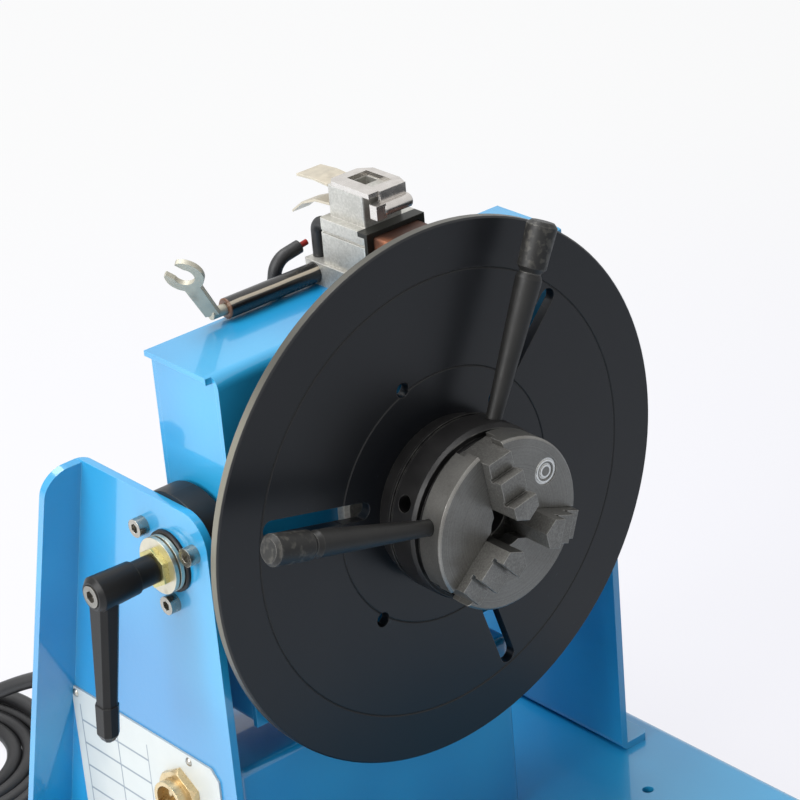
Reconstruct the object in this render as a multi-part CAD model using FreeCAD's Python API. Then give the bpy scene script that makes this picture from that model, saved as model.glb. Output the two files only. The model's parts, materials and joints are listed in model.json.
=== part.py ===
import FreeCAD, Part
import math
import os

# Bench welding positioner: a sheet-metal stand carries a tilting head on two
# trunnions, and the head drives a round faceplate with a lever scroll chuck.
#
# Millimetres. +Z is up, the faceplate looks along -Y, +X is to the right of
# someone facing the faceplate. The origin is on the bench, under the middle
# of the base.

V = FreeCAD.Vector
X, Y, Z = V(1, 0, 0), V(0, 1, 0), V(0, 0, 1)

# ---- driving dimensions ------------------------------------------------------
BASE_WIDTH = 228.0          # tray, left to right
BASE_LENGTH = 270.0         # tray, front to back
TRAY_HEIGHT = 15.0
FOOT_STANDOFF = 5.0         # bench to the tray's rim
SHEET = 3.0                 # cheeks and tray
THIN_SHEET = 2.0            # head and control box
BEND = 4.0                  # outside radius of a bend
SPINDLE_RISE = 155.0        # tray top to spindle axis
FACE_BACK = 10.0            # faceplate's front lies this far in front of the origin
PIVOT_BACK = 36.0           # faceplate's front to the tilt axis

PLATE_R = 100.0
PLATE_THICK = 4.0
CHUCK_R = 31.3
CHUCK_HEIGHT = 32.5

CHEEK_MARGIN = 24.0         # tray's side to the cheek's inner face
HEAD_SIDE_GAP = 12.0        # cheek's inner face to the head
REAR_MARGIN = 12.0          # cheek's rear foot to the tray's back edge
BOX_MARGIN = 27.0           # control box's back to the tray's back edge
CHEEK_INNER = BASE_WIDTH / 2 - CHEEK_MARGIN
HEAD_WIDTH = 2 * (CHEEK_INNER - HEAD_SIDE_GAP)
HEAD_DEPTH = 37.0
HEAD_TOP = 68.5             # above the tilt axis
HEAD_DROP = 66.5            # below the tilt axis

RUN = 0.05                  # radial clearance of a running fit
SEAT = 0.3                  # gap between two bodies' faces
HOLE_SLACK = 0.3            # radial clearance of a bolt in its hole
LAP = 0.5                   # how far a feature is sunk into the piece it joins

TRAY_TOP = FOOT_STANDOFF + TRAY_HEIGHT
SPINDLE_Z = TRAY_TOP + SPINDLE_RISE
FACE_Y = -FACE_BACK
PIVOT_Y = FACE_Y + PIVOT_BACK
FACE = V(0, FACE_Y, SPINDLE_Z)        # centre of the faceplate's front
PIVOT = V(0, PIVOT_Y, SPINDLE_Z)      # tilt axis, in the middle


# ---- small tools ---------------------------------------------------------------
def box(x, y, z):
    """Block between two (low, high) pairs on each axis."""
    return Part.makeBox(x[1] - x[0], y[1] - y[0], z[1] - z[0], V(x[0], y[0], z[0]))


def cyl(radius, start, end):
    """Cylinder from one point to another."""
    run = end - start
    return Part.makeCylinder(radius, run.Length, start, run)


def ring(outer, inner, start, end):
    return cyl(outer, start, end).cut(cyl(inner, start - (end - start), end + (end - start)))


def cone(r_start, r_end, start, end):
    run = end - start
    return Part.makeCone(r_start, r_end, run.Length, start, run)


def join(pieces):
    whole = pieces[0]
    for piece in pieces[1:]:
        whole = whole.fuse(piece)
    return whole.removeSplitter()


def less(shape, tools):
    for tool in tools:
        shape = shape.cut(tool)
    return shape


def prism(points, thickness):
    """Straight-sided outline pushed along a vector."""
    return Part.Face(Part.makePolygon(points + [points[0]])).extrude(thickness)


def hexagon(flats, start, end):
    """Hexagonal bar between two points; flats is its size across flats."""
    run = end - start
    side = X if abs(run.x) < run.Length / 2 else Z
    corner = side * (flats / math.sqrt(3))
    points = []
    for step in range(6):
        turn = FreeCAD.Rotation(run, 60 * step)
        points.append(start + turn.multVec(corner))
    return prism(points, run)


def along(edge, direction):
    if edge.Curve.TypeId != "Part::GeomLine":
        return False
    return abs(edge.tangentAt(edge.FirstParameter).dot(direction)) > 0.999


def round_edges(shape, radius, direction, where=lambda middle: True):
    """Rounds the straight edges that run in a direction and lie where asked."""
    picked = [e for e in shape.Edges if along(e, direction) and where(e.CenterOfMass)]
    return shape.makeFillet(radius, picked)


def bevel_rims(shape, size, where):
    """Bevels the round edges that lie where asked."""
    picked = [e for e in shape.Edges if e.Curve.TypeId == "Part::GeomCircle" and where(e)]
    return shape.makeChamfer(size, picked)


def round_bend(shape, corner, run, a, b, radius=None):
    """Rounds the edge that starts at a corner; a and b point along its two faces."""
    r = radius or BEND
    corner, run = corner - run * 0.05, run * 1.1
    block = prism([corner - (a + b), corner + a * r - b, corner + (a + b) * r, corner + b * r - a], run)
    return shape.cut(block.cut(cyl(r, corner + (a + b) * r, corner + (a + b) * r + run)))


def spun(shape, angle, origin, axis):
    return shape.rotated(origin, axis, angle)


def mirrored(shape):
    return shape.mirror(V(0, 0, 0), X)


def solids_of(shapes):
    found = []
    for shape in shapes:
        found += shape.Solids
    return found


def save(node, *shapes):
    solids = solids_of(shapes)
    shape = solids[0] if len(solids) == 1 else Part.makeCompound(solids)
    shape.exportStep("parts/" + node + ".step")


def from_face(x, y, z):
    """A point given from the centre of the faceplate's front."""
    return FACE + V(x, y, z)


def from_pivot(x, y, z):
    """A point given from the middle of the tilt axis."""
    return PIVOT + V(x, y, z)


def polar(radius, angle, y):
    """A point on the faceplate side, by radius and angle from +X towards +Z."""
    a = math.radians(angle)
    return from_face(radius * math.cos(a), y, radius * math.sin(a))


def cap_screw(thread_r, length, under_head, direction):
    """Socket head cap screw: head outside, shank along the direction."""
    head_r = 1.7 * thread_r
    head = cyl(head_r, under_head, under_head - direction * (2 * thread_r))
    socket = hexagon(1.6 * thread_r, under_head - direction * (2 * thread_r),
                     under_head - direction * (0.9 * thread_r))
    shank = cyl(thread_r, under_head - direction * LAP, under_head + direction * length)
    return head.cut(socket).fuse(shank)


# ---- base tray, feet and their fasteners -----------------------------------------
FOOT_R = 10.0
FOOT_INSET = 16.0
FOOT_RECESS_R = 3.0
BENCH_HOLE_R = 2.25
BENCH_HOLE_X = CHEEK_INNER - 12.0
BENCH_HOLE_Y = (PIVOT_Y - 48.0, BASE_LENGTH / 2 - 17.0)
TRAY_CORNER = 8.0

HALF_W = BASE_WIDTH / 2
HALF_L = BASE_LENGTH / 2

# the cheek's outline, measured from the tilt axis
CHEEK_OUTER = CHEEK_INNER + SHEET
CHEEK_FRONT = 22.0          # in front of the tilt axis
CHEEK_TOP = 22.0            # above the tilt axis
CHEEK_CORNER = 12.0
CHEEK_REAR_TOP = 51.0       # behind the tilt axis, at the top
CHEEK_REAR_FOOT = BASE_LENGTH / 2 - REAR_MARGIN - PIVOT_Y    # behind the tilt axis, at the foot
REAR_FLANGE = 18.5          # at the foot
REAR_FLANGE_TOP = 15.5
FOOT_FLANGE = 11.5
FLANGE_CLIP = 10.0
FOOT_CLIP = 2.0

BOLT_R = 2.5
BOLT_HEAD = 8.0             # across flats
BOLT_HEAD_THICK = 4.0
WASHER_R = 4.5
WASHER_THICK = 1.4
BOLT_X = CHEEK_OUTER + FOOT_FLANGE / 2
BOLT_Y = (PIVOT_Y - CHEEK_FRONT + 13.0, PIVOT_Y + CHEEK_REAR_FOOT - 25.0)


def base_tray():
    tray = box((-HALF_W, HALF_W), (-HALF_L, HALF_L), (FOOT_STANDOFF, TRAY_TOP))
    tray = round_edges(tray, TRAY_CORNER, Z)
    rim = [e for e in tray.Edges if abs(e.CenterOfMass.z - TRAY_TOP) < 0.01]
    tray = tray.makeFillet(BEND, rim)
    inner = box((-HALF_W + SHEET, HALF_W - SHEET), (-HALF_L + SHEET, HALF_L - SHEET),
                (FOOT_STANDOFF - LAP, TRAY_TOP - SHEET))
    inner = round_edges(inner, TRAY_CORNER - SHEET, Z)
    holes = [cyl(BENCH_HOLE_R, V(s * BENCH_HOLE_X, y, 0), V(s * BENCH_HOLE_X, y, TRAY_TOP + LAP))
             for s in (-1, 1) for y in BENCH_HOLE_Y]
    holes += [cyl(BOLT_R + HOLE_SLACK, V(s * BOLT_X, y, 0), V(s * BOLT_X, y, TRAY_TOP + LAP))
              for s in (-1, 1) for y in BOLT_Y]
    return less(tray, [inner] + holes)


def rubber_feet():
    feet = []
    for sx in (-1, 1):
        for sy in (-1, 1):
            x = sx * (HALF_W - FOOT_INSET)
            y = sy * (HALF_L - FOOT_INSET)
            foot = cone(FOOT_R - 2, FOOT_R, V(x, y, 0), V(x, y, TRAY_TOP - SHEET))
            recess = cyl(FOOT_RECESS_R, V(x, y, -LAP), V(x, y, 2.0))
            feet.append(foot.cut(recess))
    return feet


def cheek_bolts():
    bolts = []
    for s in (-1, 1):
        for y in BOLT_Y:
            seat = V(s * BOLT_X, y, TRAY_TOP + SHEET + WASHER_THICK)
            head = hexagon(BOLT_HEAD, seat, seat + Z * BOLT_HEAD_THICK)
            shank = cyl(BOLT_R, seat + Z * LAP, V(s * BOLT_X, y, FOOT_STANDOFF + 4))
            under = V(s * BOLT_X, y, TRAY_TOP - SHEET)
            nut = hexagon(BOLT_HEAD, under, under - Z * BOLT_HEAD_THICK)
            bolts.append(join([head, shank, nut]))
    return bolts


def cheek_washers():
    low = TRAY_TOP + SHEET
    return [ring(WASHER_R, BOLT_R + HOLE_SLACK / 2, V(s * BOLT_X, y, low),
                 V(s * BOLT_X, y, low + WASHER_THICK)) for s in (-1, 1) for y in BOLT_Y]


# ---- cheeks ------------------------------------------------------------------------
TRUNNION_R = 8.0
BUSH_R = 11.3               # the bush's nose, through the cheek
BUSH_FLANGE_R = 24.0
BUSH_PROUD = 1.5            # the nose stands out of the cheek
HEAD_GAP = 1.0              # bush flange to the head's side
BUSH_SCREW_R = 2.0
BUSH_SCREW_PCD = 33.0
BUSH_SCREW_ANGLES = (32, 152, 272)

NAMEPLATE_THICK = 0.8
NAMEPLATE_MARGIN = 21.0     # from the cheek's rear foot to the plate's back edge
NAMEPLATE_Y = (PIVOT_Y - 13.0, PIVOT_Y + CHEEK_REAR_FOOT - NAMEPLATE_MARGIN)
NAMEPLATE_Z = (SPINDLE_Z - 148.0, SPINDLE_Z - 80.0)
RIVET_R = 1.1
RIVET_INSET = 2.6
RIVET_Y = (PIVOT_Y + 4.0, NAMEPLATE_Y[1] - RIVET_INSET)
SOCKET_R = 8.0
SOCKET_NUT = 20.0
SOCKET_AT = V(-CHEEK_OUTER, PIVOT_Y + 10.0, SPINDLE_Z - 99.0)


def on_cheek(y, z, x=-CHEEK_INNER):
    return V(x, PIVOT_Y + y, SPINDLE_Z + z)


def plain_cheek():
    """Left cheek: side plate, rear flange and foot flange, both bent outwards."""
    foot = -SPINDLE_RISE
    outline = [on_cheek(-CHEEK_FRONT, foot), on_cheek(CHEEK_REAR_FOOT, foot),
               on_cheek(CHEEK_REAR_TOP, CHEEK_TOP), on_cheek(-CHEEK_FRONT, CHEEK_TOP)]
    plate = prism(outline, -X * SHEET)
    plate = round_edges(plate, CHEEK_CORNER, X,
                        lambda m: m.y < PIVOT_Y - CHEEK_FRONT + 1 and m.z > SPINDLE_Z)
    rise = on_cheek(CHEEK_REAR_TOP, CHEEK_TOP) - on_cheek(CHEEK_REAR_FOOT, foot)
    inward = V(0, -rise.z, rise.y).normalize()
    # the rear flange is a strip along the sloping rear edge
    low = on_cheek(CHEEK_REAR_FOOT, foot)
    strip = [low, low + rise, low + rise - X * (SHEET + REAR_FLANGE_TOP),
             low - X * (SHEET + REAR_FLANGE)]
    rear = prism(strip, inward * SHEET)
    rear = rear.common(box((-BASE_WIDTH, 0), (0, BASE_LENGTH), (TRAY_TOP, SPINDLE_Z + CHEEK_TOP)))
    clipped = [e for e in rear.Edges if along(e, inward) and e.CenterOfMass.z > SPINDLE_Z
               and e.CenterOfMass.x < -CHEEK_OUTER - 1]
    rear = rear.makeFillet(FLANGE_CLIP, clipped)
    floor = box((-CHEEK_OUTER - FOOT_FLANGE, -CHEEK_INNER),
                (PIVOT_Y - CHEEK_FRONT, PIVOT_Y + CHEEK_REAR_FOOT - SHEET),
                (TRAY_TOP, TRAY_TOP + SHEET))
    nose = [e for e in floor.Edges if along(e, Z) and e.CenterOfMass.x < -CHEEK_OUTER - 1
            and e.CenterOfMass.y < PIVOT_Y]
    floor = floor.makeChamfer(FOOT_CLIP, nose)
    cheek = join([plate, rear, floor])
    cheek = round_bend(cheek, low, rise, inward, -X)
    cheek = round_bend(cheek, on_cheek(-CHEEK_FRONT, foot), Y * BASE_LENGTH, Z, -X)
    tools = [cyl(BUSH_R + RUN, on_cheek(0, 0, -CHEEK_OUTER - LAP), on_cheek(0, 0, LAP - CHEEK_INNER))]
    for angle in BUSH_SCREW_ANGLES:
        a = math.radians(angle)
        y, z = BUSH_SCREW_PCD / 2 * math.cos(a), BUSH_SCREW_PCD / 2 * math.sin(a)
        tools.append(cyl(BUSH_SCREW_R + HOLE_SLACK, on_cheek(y, z, -CHEEK_OUTER - LAP),
                         on_cheek(y, z, LAP - CHEEK_INNER)))
    for y in BOLT_Y:
        tools.append(cyl(BOLT_R + HOLE_SLACK, V(-BOLT_X, y, TRAY_TOP - LAP),
                         V(-BOLT_X, y, TRAY_TOP + SHEET + LAP)))
    return less(cheek, tools)


def rivet_spots():
    return [(y, z) for y in RIVET_Y
            for z in (NAMEPLATE_Z[0] + RIVET_INSET, NAMEPLATE_Z[1] - RIVET_INSET)]


def left_cheek():
    tools = [cyl(SOCKET_R + HOLE_SLACK, SOCKET_AT - X * LAP, SOCKET_AT + X * (SHEET + LAP))]
    tools += [cyl(RIVET_R + RUN, V(-CHEEK_OUTER - LAP, y, z), V(LAP - CHEEK_INNER, y, z))
              for y, z in rivet_spots()]
    return less(plain_cheek(), tools)


def nameplate():
    low, high = NAMEPLATE_Z
    front, back = NAMEPLATE_Y
    clip = 4.0
    x = -CHEEK_OUTER
    plate = prism([V(x, front, low), V(x, back, low), V(x, back, high),
                   V(x, front + clip, high), V(x, front, high - clip)], -X * NAMEPLATE_THICK)
    tools = [cyl(SOCKET_R + HOLE_SLACK, SOCKET_AT - X * SHEET, SOCKET_AT + X * SHEET)]
    tools += [cyl(RIVET_R + RUN, V(x - SHEET, y, z), V(x + SHEET, y, z)) for y, z in rivet_spots()]
    return less(plate, tools)


def nameplate_rivets():
    rivets = []
    for y, z in rivet_spots():
        seat = V(-CHEEK_OUTER - NAMEPLATE_THICK, y, z)
        head = Part.makeSphere(2 * RIVET_R, seat + X * RIVET_R * 1.2)
        head = head.common(cyl(2 * RIVET_R, seat, seat - X * 2 * RIVET_R))
        shank = cyl(RIVET_R, seat - X * LAP, V(-CHEEK_INNER + LAP, y, z))
        rivets.append(head.fuse(shank))
    return rivets


def pedal_socket():
    """Round panel socket for the foot switch: flanged barrel, insert and pins."""
    face = SOCKET_AT - X * NAMEPLATE_THICK
    nut_thick = 3.0
    proud = 7.0
    barrel = ring(SOCKET_R, SOCKET_R - 1.6, face - X * proud, SOCKET_AT + X * (SHEET + 12))
    insert = cyl(SOCKET_R - 1.6, face - X * (proud - 5), SOCKET_AT + X * (SHEET + 12))
    flange = ring(SOCKET_R + 2.5, SOCKET_R - LAP, SOCKET_AT + X * SHEET, SOCKET_AT + X * (SHEET + 2))
    pins = []
    for angle in (90, 210, 330):
        a = math.radians(angle)
        at = V(0, 3.2 * math.cos(a), 3.2 * math.sin(a))
        pins.append(cyl(0.9, face + at - X * (proud - 1.5), face + at - X * (proud - 5 - LAP)))
    body = join([barrel, insert, flange] + pins)
    nut = hexagon(SOCKET_NUT, face, face - X * nut_thick)
    nut = nut.common(cone(SOCKET_NUT / 2 + 2.4, SOCKET_NUT / 2 + 0.4, face, face - X * nut_thick))
    nut = nut.cut(cyl(SOCKET_R + RUN, face + X, face - X * (nut_thick + 1)))
    return body, nut


# ---- tilt bearings and clamp ----------------------------------------------------------
STUD_R = 4.0
STUD_LENGTH = 20.0
WASHER_BIG_R = 10.3
CLAMP_WASHER = 1.5
CLAMP_NUT_THICK = 2.4


def bush_left():
    """Flanged bush bolted inside the cheek; its nose comes through the sheet."""
    flange = cyl(BUSH_FLANGE_R, V(-CHEEK_INNER, PIVOT_Y, SPINDLE_Z),
                 V(-HEAD_WIDTH / 2 - HEAD_GAP, PIVOT_Y, SPINDLE_Z))
    flange = bevel_rims(flange, 1.0, lambda e: e.CenterOfMass.x > -CHEEK_INNER + 1)
    nose = cyl(BUSH_R, on_cheek(0, 0, -CHEEK_OUTER - BUSH_PROUD), on_cheek(0, 0, LAP - CHEEK_INNER))
    nose = bevel_rims(nose, 0.5, lambda e: e.CenterOfMass.x < -CHEEK_OUTER)
    bore = cyl(TRUNNION_R + RUN, on_cheek(0, 0, -CHEEK_OUTER - SHEET), on_cheek(0, 0, 0))
    tapped = []
    for angle in BUSH_SCREW_ANGLES:
        a = math.radians(angle)
        y, z = BUSH_SCREW_PCD / 2 * math.cos(a), BUSH_SCREW_PCD / 2 * math.sin(a)
        tapped.append(cyl(BUSH_SCREW_R + RUN, on_cheek(y, z), on_cheek(y, z, 7 - CHEEK_INNER)))
    return less(flange.fuse(nose), [bore] + tapped)


def bush_screws():
    screws = []
    for angle in BUSH_SCREW_ANGLES:
        a = math.radians(angle)
        y, z = BUSH_SCREW_PCD / 2 * math.cos(a), BUSH_SCREW_PCD / 2 * math.sin(a)
        screws.append(cap_screw(BUSH_SCREW_R, 9.0, on_cheek(y, z, -CHEEK_OUTER), X))
    return screws + [mirrored(s) for s in screws]


def trunnion_left():
    """Turned pin: flange inside the head's wall, journal, then a threaded stud."""
    wall = -HEAD_WIDTH / 2 + THIN_SHEET
    end = -CHEEK_OUTER - BUSH_PROUD
    flange = cyl(2 * TRUNNION_R, on_cheek(0, 0, wall), on_cheek(0, 0, wall + 5))
    journal = cyl(TRUNNION_R, on_cheek(0, 0, end + LAP), on_cheek(0, 0, wall + 1))
    stud = cyl(STUD_R, on_cheek(0, 0, end - STUD_LENGTH), on_cheek(0, 0, end + 1))
    stud = bevel_rims(stud, 0.8, lambda e: e.CenterOfMass.x < end - 1)
    return join([flange, journal, stud])


def clamp_washers():
    """Two plain washers with a spring washer between, on each stud."""
    x = -CHEEK_OUTER - BUSH_PROUD - SEAT
    pieces = []
    for outer, thick in ((WASHER_BIG_R, CLAMP_WASHER), (WASHER_BIG_R - 2.2, 0.8),
                         (WASHER_BIG_R, CLAMP_WASHER)):
        pieces.append(ring(outer, STUD_R + RUN, on_cheek(0, 0, x), on_cheek(0, 0, x - thick)))
        x -= thick
    return pieces, x


def clamp_nut(x):
    nut = hexagon(13.0, on_cheek(0, 0, x), on_cheek(0, 0, x - CLAMP_NUT_THICK))
    return nut.cut(cyl(STUD_R + RUN, on_cheek(0, 0, x + 1), on_cheek(0, 0, x - 4)))


LEVER_HUB_R = 6.6
LEVER_NECK_R = 5.2
LEVER_NECK = 8.0
LEVER_HUB_LENGTH = 25.0
LEVER_LENGTH = 53.0
LEVER_LEAN = 6.0             # how far the arm's tip stands out from its root
LEVER_ROOT = (4.1, 5.0)      # half thickness and half width of the arm at the hub
LEVER_TIP = (2.8, 3.5)       # and at its tip
LEVER_PAD = 10.0             # length of the thicker pad at the tip


def lever_section(drop, middle, half_x, half_y, clip=1.8):
    """Eight-sided section of the arm, at a drop below the stud's axis."""
    corners = [(-half_x + clip, -half_y), (half_x - clip, -half_y), (half_x, -half_y + clip),
               (half_x, half_y - clip), (half_x - clip, half_y), (-half_x + clip, half_y),
               (-half_x, half_y - clip), (-half_x, -half_y + clip)]
    points = [on_cheek(y, -drop, middle + x) for x, y in corners]
    return Part.makePolygon(points + [points[0]])


def clamp_lever(x):
    """Adjustable clamping lever: stepped hub on the stud, tapered arm hanging down."""
    inner = x - SEAT
    outer = inner - LEVER_HUB_LENGTH
    neck = cyl(LEVER_NECK_R, on_cheek(0, 0, inner), on_cheek(0, 0, inner - LEVER_NECK - 1))
    hub = cone(LEVER_HUB_R - 0.6, LEVER_HUB_R, on_cheek(0, 0, inner - LEVER_NECK), on_cheek(0, 0, outer))
    hub = bevel_rims(hub, 1.6, lambda e: e.CenterOfMass.x < outer + 1)
    root_x, root_y = LEVER_ROOT
    tip_x, tip_y = LEVER_TIP
    middle = outer + 1.0 + root_x
    pad_top = LEVER_LENGTH - LEVER_PAD
    share = pad_top / LEVER_LENGTH
    arm = Part.makeLoft([lever_section(1.0, middle, root_x, root_y),
                         lever_section(pad_top, middle - LEVER_LEAN * share, tip_x + 0.3, tip_y + 0.2)], True, True)
    pad = Part.makeLoft([lever_section(pad_top - 1, middle - LEVER_LEAN * share, tip_x + 0.6, tip_y + 0.7),
                         lever_section(LEVER_LENGTH, middle - LEVER_LEAN, tip_x + 0.4, tip_y + 0.5),
                         lever_section(LEVER_LENGTH + 2.4, middle - LEVER_LEAN - 0.3, tip_x - 1.0, tip_y - 1.2, 0.9)],
                        True, True)
    bore = cyl(STUD_R + RUN, on_cheek(0, 0, inner + 1),
               on_cheek(0, 0, -CHEEK_OUTER - BUSH_PROUD - STUD_LENGTH - 1))
    pocket = cyl(4.2, on_cheek(0, 0, outer - LAP), on_cheek(0, 0, outer + 3))
    lever = less(join([neck, hub, arm, pad]), [bore, pocket])
    screw = cyl(4.0, on_cheek(0, 0, outer - 0.4), on_cheek(0, 0, outer + 3))
    screw = screw.cut(hexagon(4.0, on_cheek(0, 0, outer - 1), on_cheek(0, 0, outer + 1.6)))
    return lever, screw


# ---- tilting head ------------------------------------------------------------------------
HEAD_HALF = HEAD_WIDTH / 2
HEAD_FRONT = HEAD_DEPTH / 2 - 0.5     # in front of the tilt axis
HEAD_REAR = HEAD_DEPTH - HEAD_FRONT
LID_OVERHANG = 2.7
RELIEF = 5.0
HOUSING_R = 20.0
HOUSING_FLANGE_R = 34.0
HOUSING_FLANGE = 5.0
HOUSING_SCREW_PCD = 60.0


def head_cover():
    """One bent sheet: the lid and the front plate, with relief cuts at the bend's ends."""
    half = HEAD_HALF + LID_OVERHANG
    cover = box((-half, half), (-HEAD_FRONT, HEAD_REAR), (-HEAD_DROP, HEAD_TOP))
    cover = round_edges(cover, BEND + 1, X, lambda m: m.y < 0 and m.z > 0)
    hollow = box((-half - 1, half + 1), (-HEAD_FRONT + THIN_SHEET, HEAD_REAR + 1),
                 (-HEAD_DROP - 1, HEAD_TOP - THIN_SHEET))
    hollow = round_edges(hollow, BEND + 1 - THIN_SHEET, X, lambda m: m.y < 0 and m.z > 0)
    tools = [hollow]
    for s in (-1, 1):
        ends = sorted((s * HEAD_HALF, s * (half + 1)))
        tools.append(box(ends, (-HEAD_FRONT - 1, -HEAD_FRONT + THIN_SHEET + 1),
                         (-HEAD_DROP - 1, HEAD_TOP - RELIEF)))
        tools.append(box(ends, (-HEAD_FRONT - 1, -HEAD_FRONT + THIN_SHEET + 1), (HEAD_TOP - RELIEF - 1, HEAD_TOP + 1)))
    tools.append(cyl(HOUSING_R + HOLE_SLACK, V(0, -HEAD_FRONT - 1, 0), V(0, -HEAD_FRONT + 5, 0)))
    tools += [cyl(2.2, spot, spot + Y * 5) for spot in housing_screw_spots(-HEAD_FRONT - 1)]
    return less(cover, tools).translated(PIVOT)


def housing_screw_spots(y):
    spots = []
    for angle in (45, 135, 225, 315):
        a = math.radians(angle)
        spots.append(V(HOUSING_SCREW_PCD / 2 * math.cos(a), y, HOUSING_SCREW_PCD / 2 * math.sin(a)))
    return spots


def head_frame():
    """U of sheet under the lid: two side walls and the floor, carrying the trunnions."""
    front, back = -HEAD_FRONT + THIN_SHEET, HEAD_REAR - THIN_SHEET
    top = HEAD_TOP - THIN_SHEET
    shell = box((-HEAD_HALF, HEAD_HALF), (front, back), (-HEAD_DROP, top))
    shell = round_edges(shell, BEND, Y, lambda m: m.z < 0)
    shell = round_edges(shell, BEND + 1.1 - THIN_SHEET, X, lambda m: m.y < 0 and m.z > 0)
    hollow = box((-HEAD_HALF + THIN_SHEET, HEAD_HALF - THIN_SHEET), (front - 1, back + 1),
                 (-HEAD_DROP + THIN_SHEET, top + 1))
    hollow = round_edges(hollow, BEND - THIN_SHEET, Y, lambda m: m.z < 0)
    bore = cyl(TRUNNION_R + HOLE_SLACK, V(-HEAD_HALF - 1, 0, 0), V(HEAD_HALF + 1, 0, 0))
    return less(shell, [hollow, bore]).translated(PIVOT)


REAR_SCREW_INSET = 9.0
REAR_SCREW_R = 1.5
GROMMET_AT = V(-21.0, 0, 40.0)
GROMMET_R = 4.6


def rear_screw_spots():
    return [V(sx * (HEAD_HALF - REAR_SCREW_INSET), HEAD_REAR, z)
            for sx in (-1, 1)
            for z in (HEAD_TOP - THIN_SHEET - REAR_SCREW_INSET, -HEAD_DROP + REAR_SCREW_INSET)]


def rear_cover():
    """Flat cover with two rows of cooling slots."""
    plate = box((-HEAD_HALF, HEAD_HALF), (HEAD_REAR - THIN_SHEET, HEAD_REAR),
                (-HEAD_DROP, HEAD_TOP - THIN_SHEET))
    plate = round_edges(plate, BEND, Y, lambda m: m.z < 0)
    tools = [cyl(REAR_SCREW_R + HOLE_SLACK, s - Y * 5, s + Y * 5) for s in rear_screw_spots()]
    tools.append(cyl(GROMMET_R - 1.0, GROMMET_AT, GROMMET_AT + Y * (HEAD_REAR + 1)))
    for row in (-36, -48):
        for column in range(-3, 4):
            slot = box((column * 14 - 5, column * 14 + 5), (HEAD_REAR - 4, HEAD_REAR + 1), (row, row + 2.4))
            tools.append(round_edges(slot, 1.1, Y))
    return less(plate, tools).translated(PIVOT)


def rear_cover_screws():
    screws = []
    for spot in rear_screw_spots():
        seat = PIVOT + spot
        head = cyl(2 * REAR_SCREW_R, seat, seat + Y * 1.8)
        head = bevel_rims(head, 0.6, lambda e: e.CenterOfMass.y > seat.y + 1)
        slot = box((seat.x - 2.2, seat.x + 2.2), (seat.y + 1.0, seat.y + 3), (seat.z - 0.4, seat.z + 0.4))
        screws.append(head.cut(slot).fuse(cyl(REAR_SCREW_R, seat + Y * LAP, seat - Y * 7)))
    return screws


# ---- spindle, its bearing and the drive ------------------------------------------------------
SPINDLE_FLANGE_R = 22.0
SPINDLE_FLANGE = 5.0
JOURNAL_R = 8.5
TAIL_R = 6.0
SPIGOT_R = 9.0
BEARING_R = 17.5
BEARING_WIDTH = 10.0
REDUCER_DEPTH = 16.5
REDUCER_HALF = 30.0
MOTOR_R = 14.5
MOTOR_DROP = 24.0
HOUSING_FRONT = -HEAD_FRONT - HOUSING_FLANGE
HOUSING_BACK = -2.0


def turned(profile, origin=PIVOT):
    """Solid of revolution about the spindle axis, from (y, radius) pairs."""
    points = [origin + V(0, y, r) for y, r in profile]
    return Part.Face(Part.makePolygon(points + [points[0]])).revolve(origin, Y, 360)


def bearing_housing():
    step = HOUSING_BACK - BEARING_WIDTH - 1.5
    body = turned([(HOUSING_FRONT, JOURNAL_R + 3), (HOUSING_FRONT, HOUSING_FLANGE_R - 1.5),
                   (HOUSING_FRONT + 1.5, HOUSING_FLANGE_R), (-HEAD_FRONT, HOUSING_FLANGE_R),
                   (-HEAD_FRONT, HOUSING_R), (HOUSING_BACK, HOUSING_R),
                   (HOUSING_BACK, BEARING_R), (step, BEARING_R), (step, JOURNAL_R + 3)])
    return less(body, [cyl(1.6, PIVOT + s - Y * 9, PIVOT + s + Y * 9)
                       for s in housing_screw_spots(-HEAD_FRONT)])


def housing_screws():
    return [cap_screw(1.5, 9.0, PIVOT + s, Y) for s in housing_screw_spots(HOUSING_FRONT)]


def spindle_bearing():
    """Shielded ball bearing: two races, and one ring for the balls, cage and shields."""
    back = HOUSING_BACK - 1.5
    front = back - BEARING_WIDTH
    track = (BEARING_R + JOURNAL_R) / 2
    land = 1.8
    spans = ((BEARING_R - RUN / 2, track + land, 0.0), (track - land, JOURNAL_R + RUN, 0.0),
             (track + land - RUN, track - land + RUN, 0.6))
    return [ring(outer, inner, from_pivot(0, front + shy, 0), from_pivot(0, back - shy, 0))
            for outer, inner, shy in spans]


def spindle():
    front = PLATE_THICK - PIVOT_BACK
    neck = front + SPINDLE_FLANGE
    journal_end = HOUSING_BACK - SEAT
    tail = HOUSING_BACK + REDUCER_DEPTH - 1
    return turned([(front - PLATE_THICK + 1, 0), (front - PLATE_THICK + 1, SPIGOT_R), (front, SPIGOT_R),
                   (front, SPINDLE_FLANGE_R), (neck, SPINDLE_FLANGE_R), (neck, JOURNAL_R + 2),
                   (HOUSING_BACK - 2 - BEARING_WIDTH - 1, JOURNAL_R + 2),
                   (HOUSING_BACK - 2 - BEARING_WIDTH - 1, JOURNAL_R),
                   (journal_end, JOURNAL_R), (journal_end, TAIL_R), (tail, TAIL_R), (tail, 0)])


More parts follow.
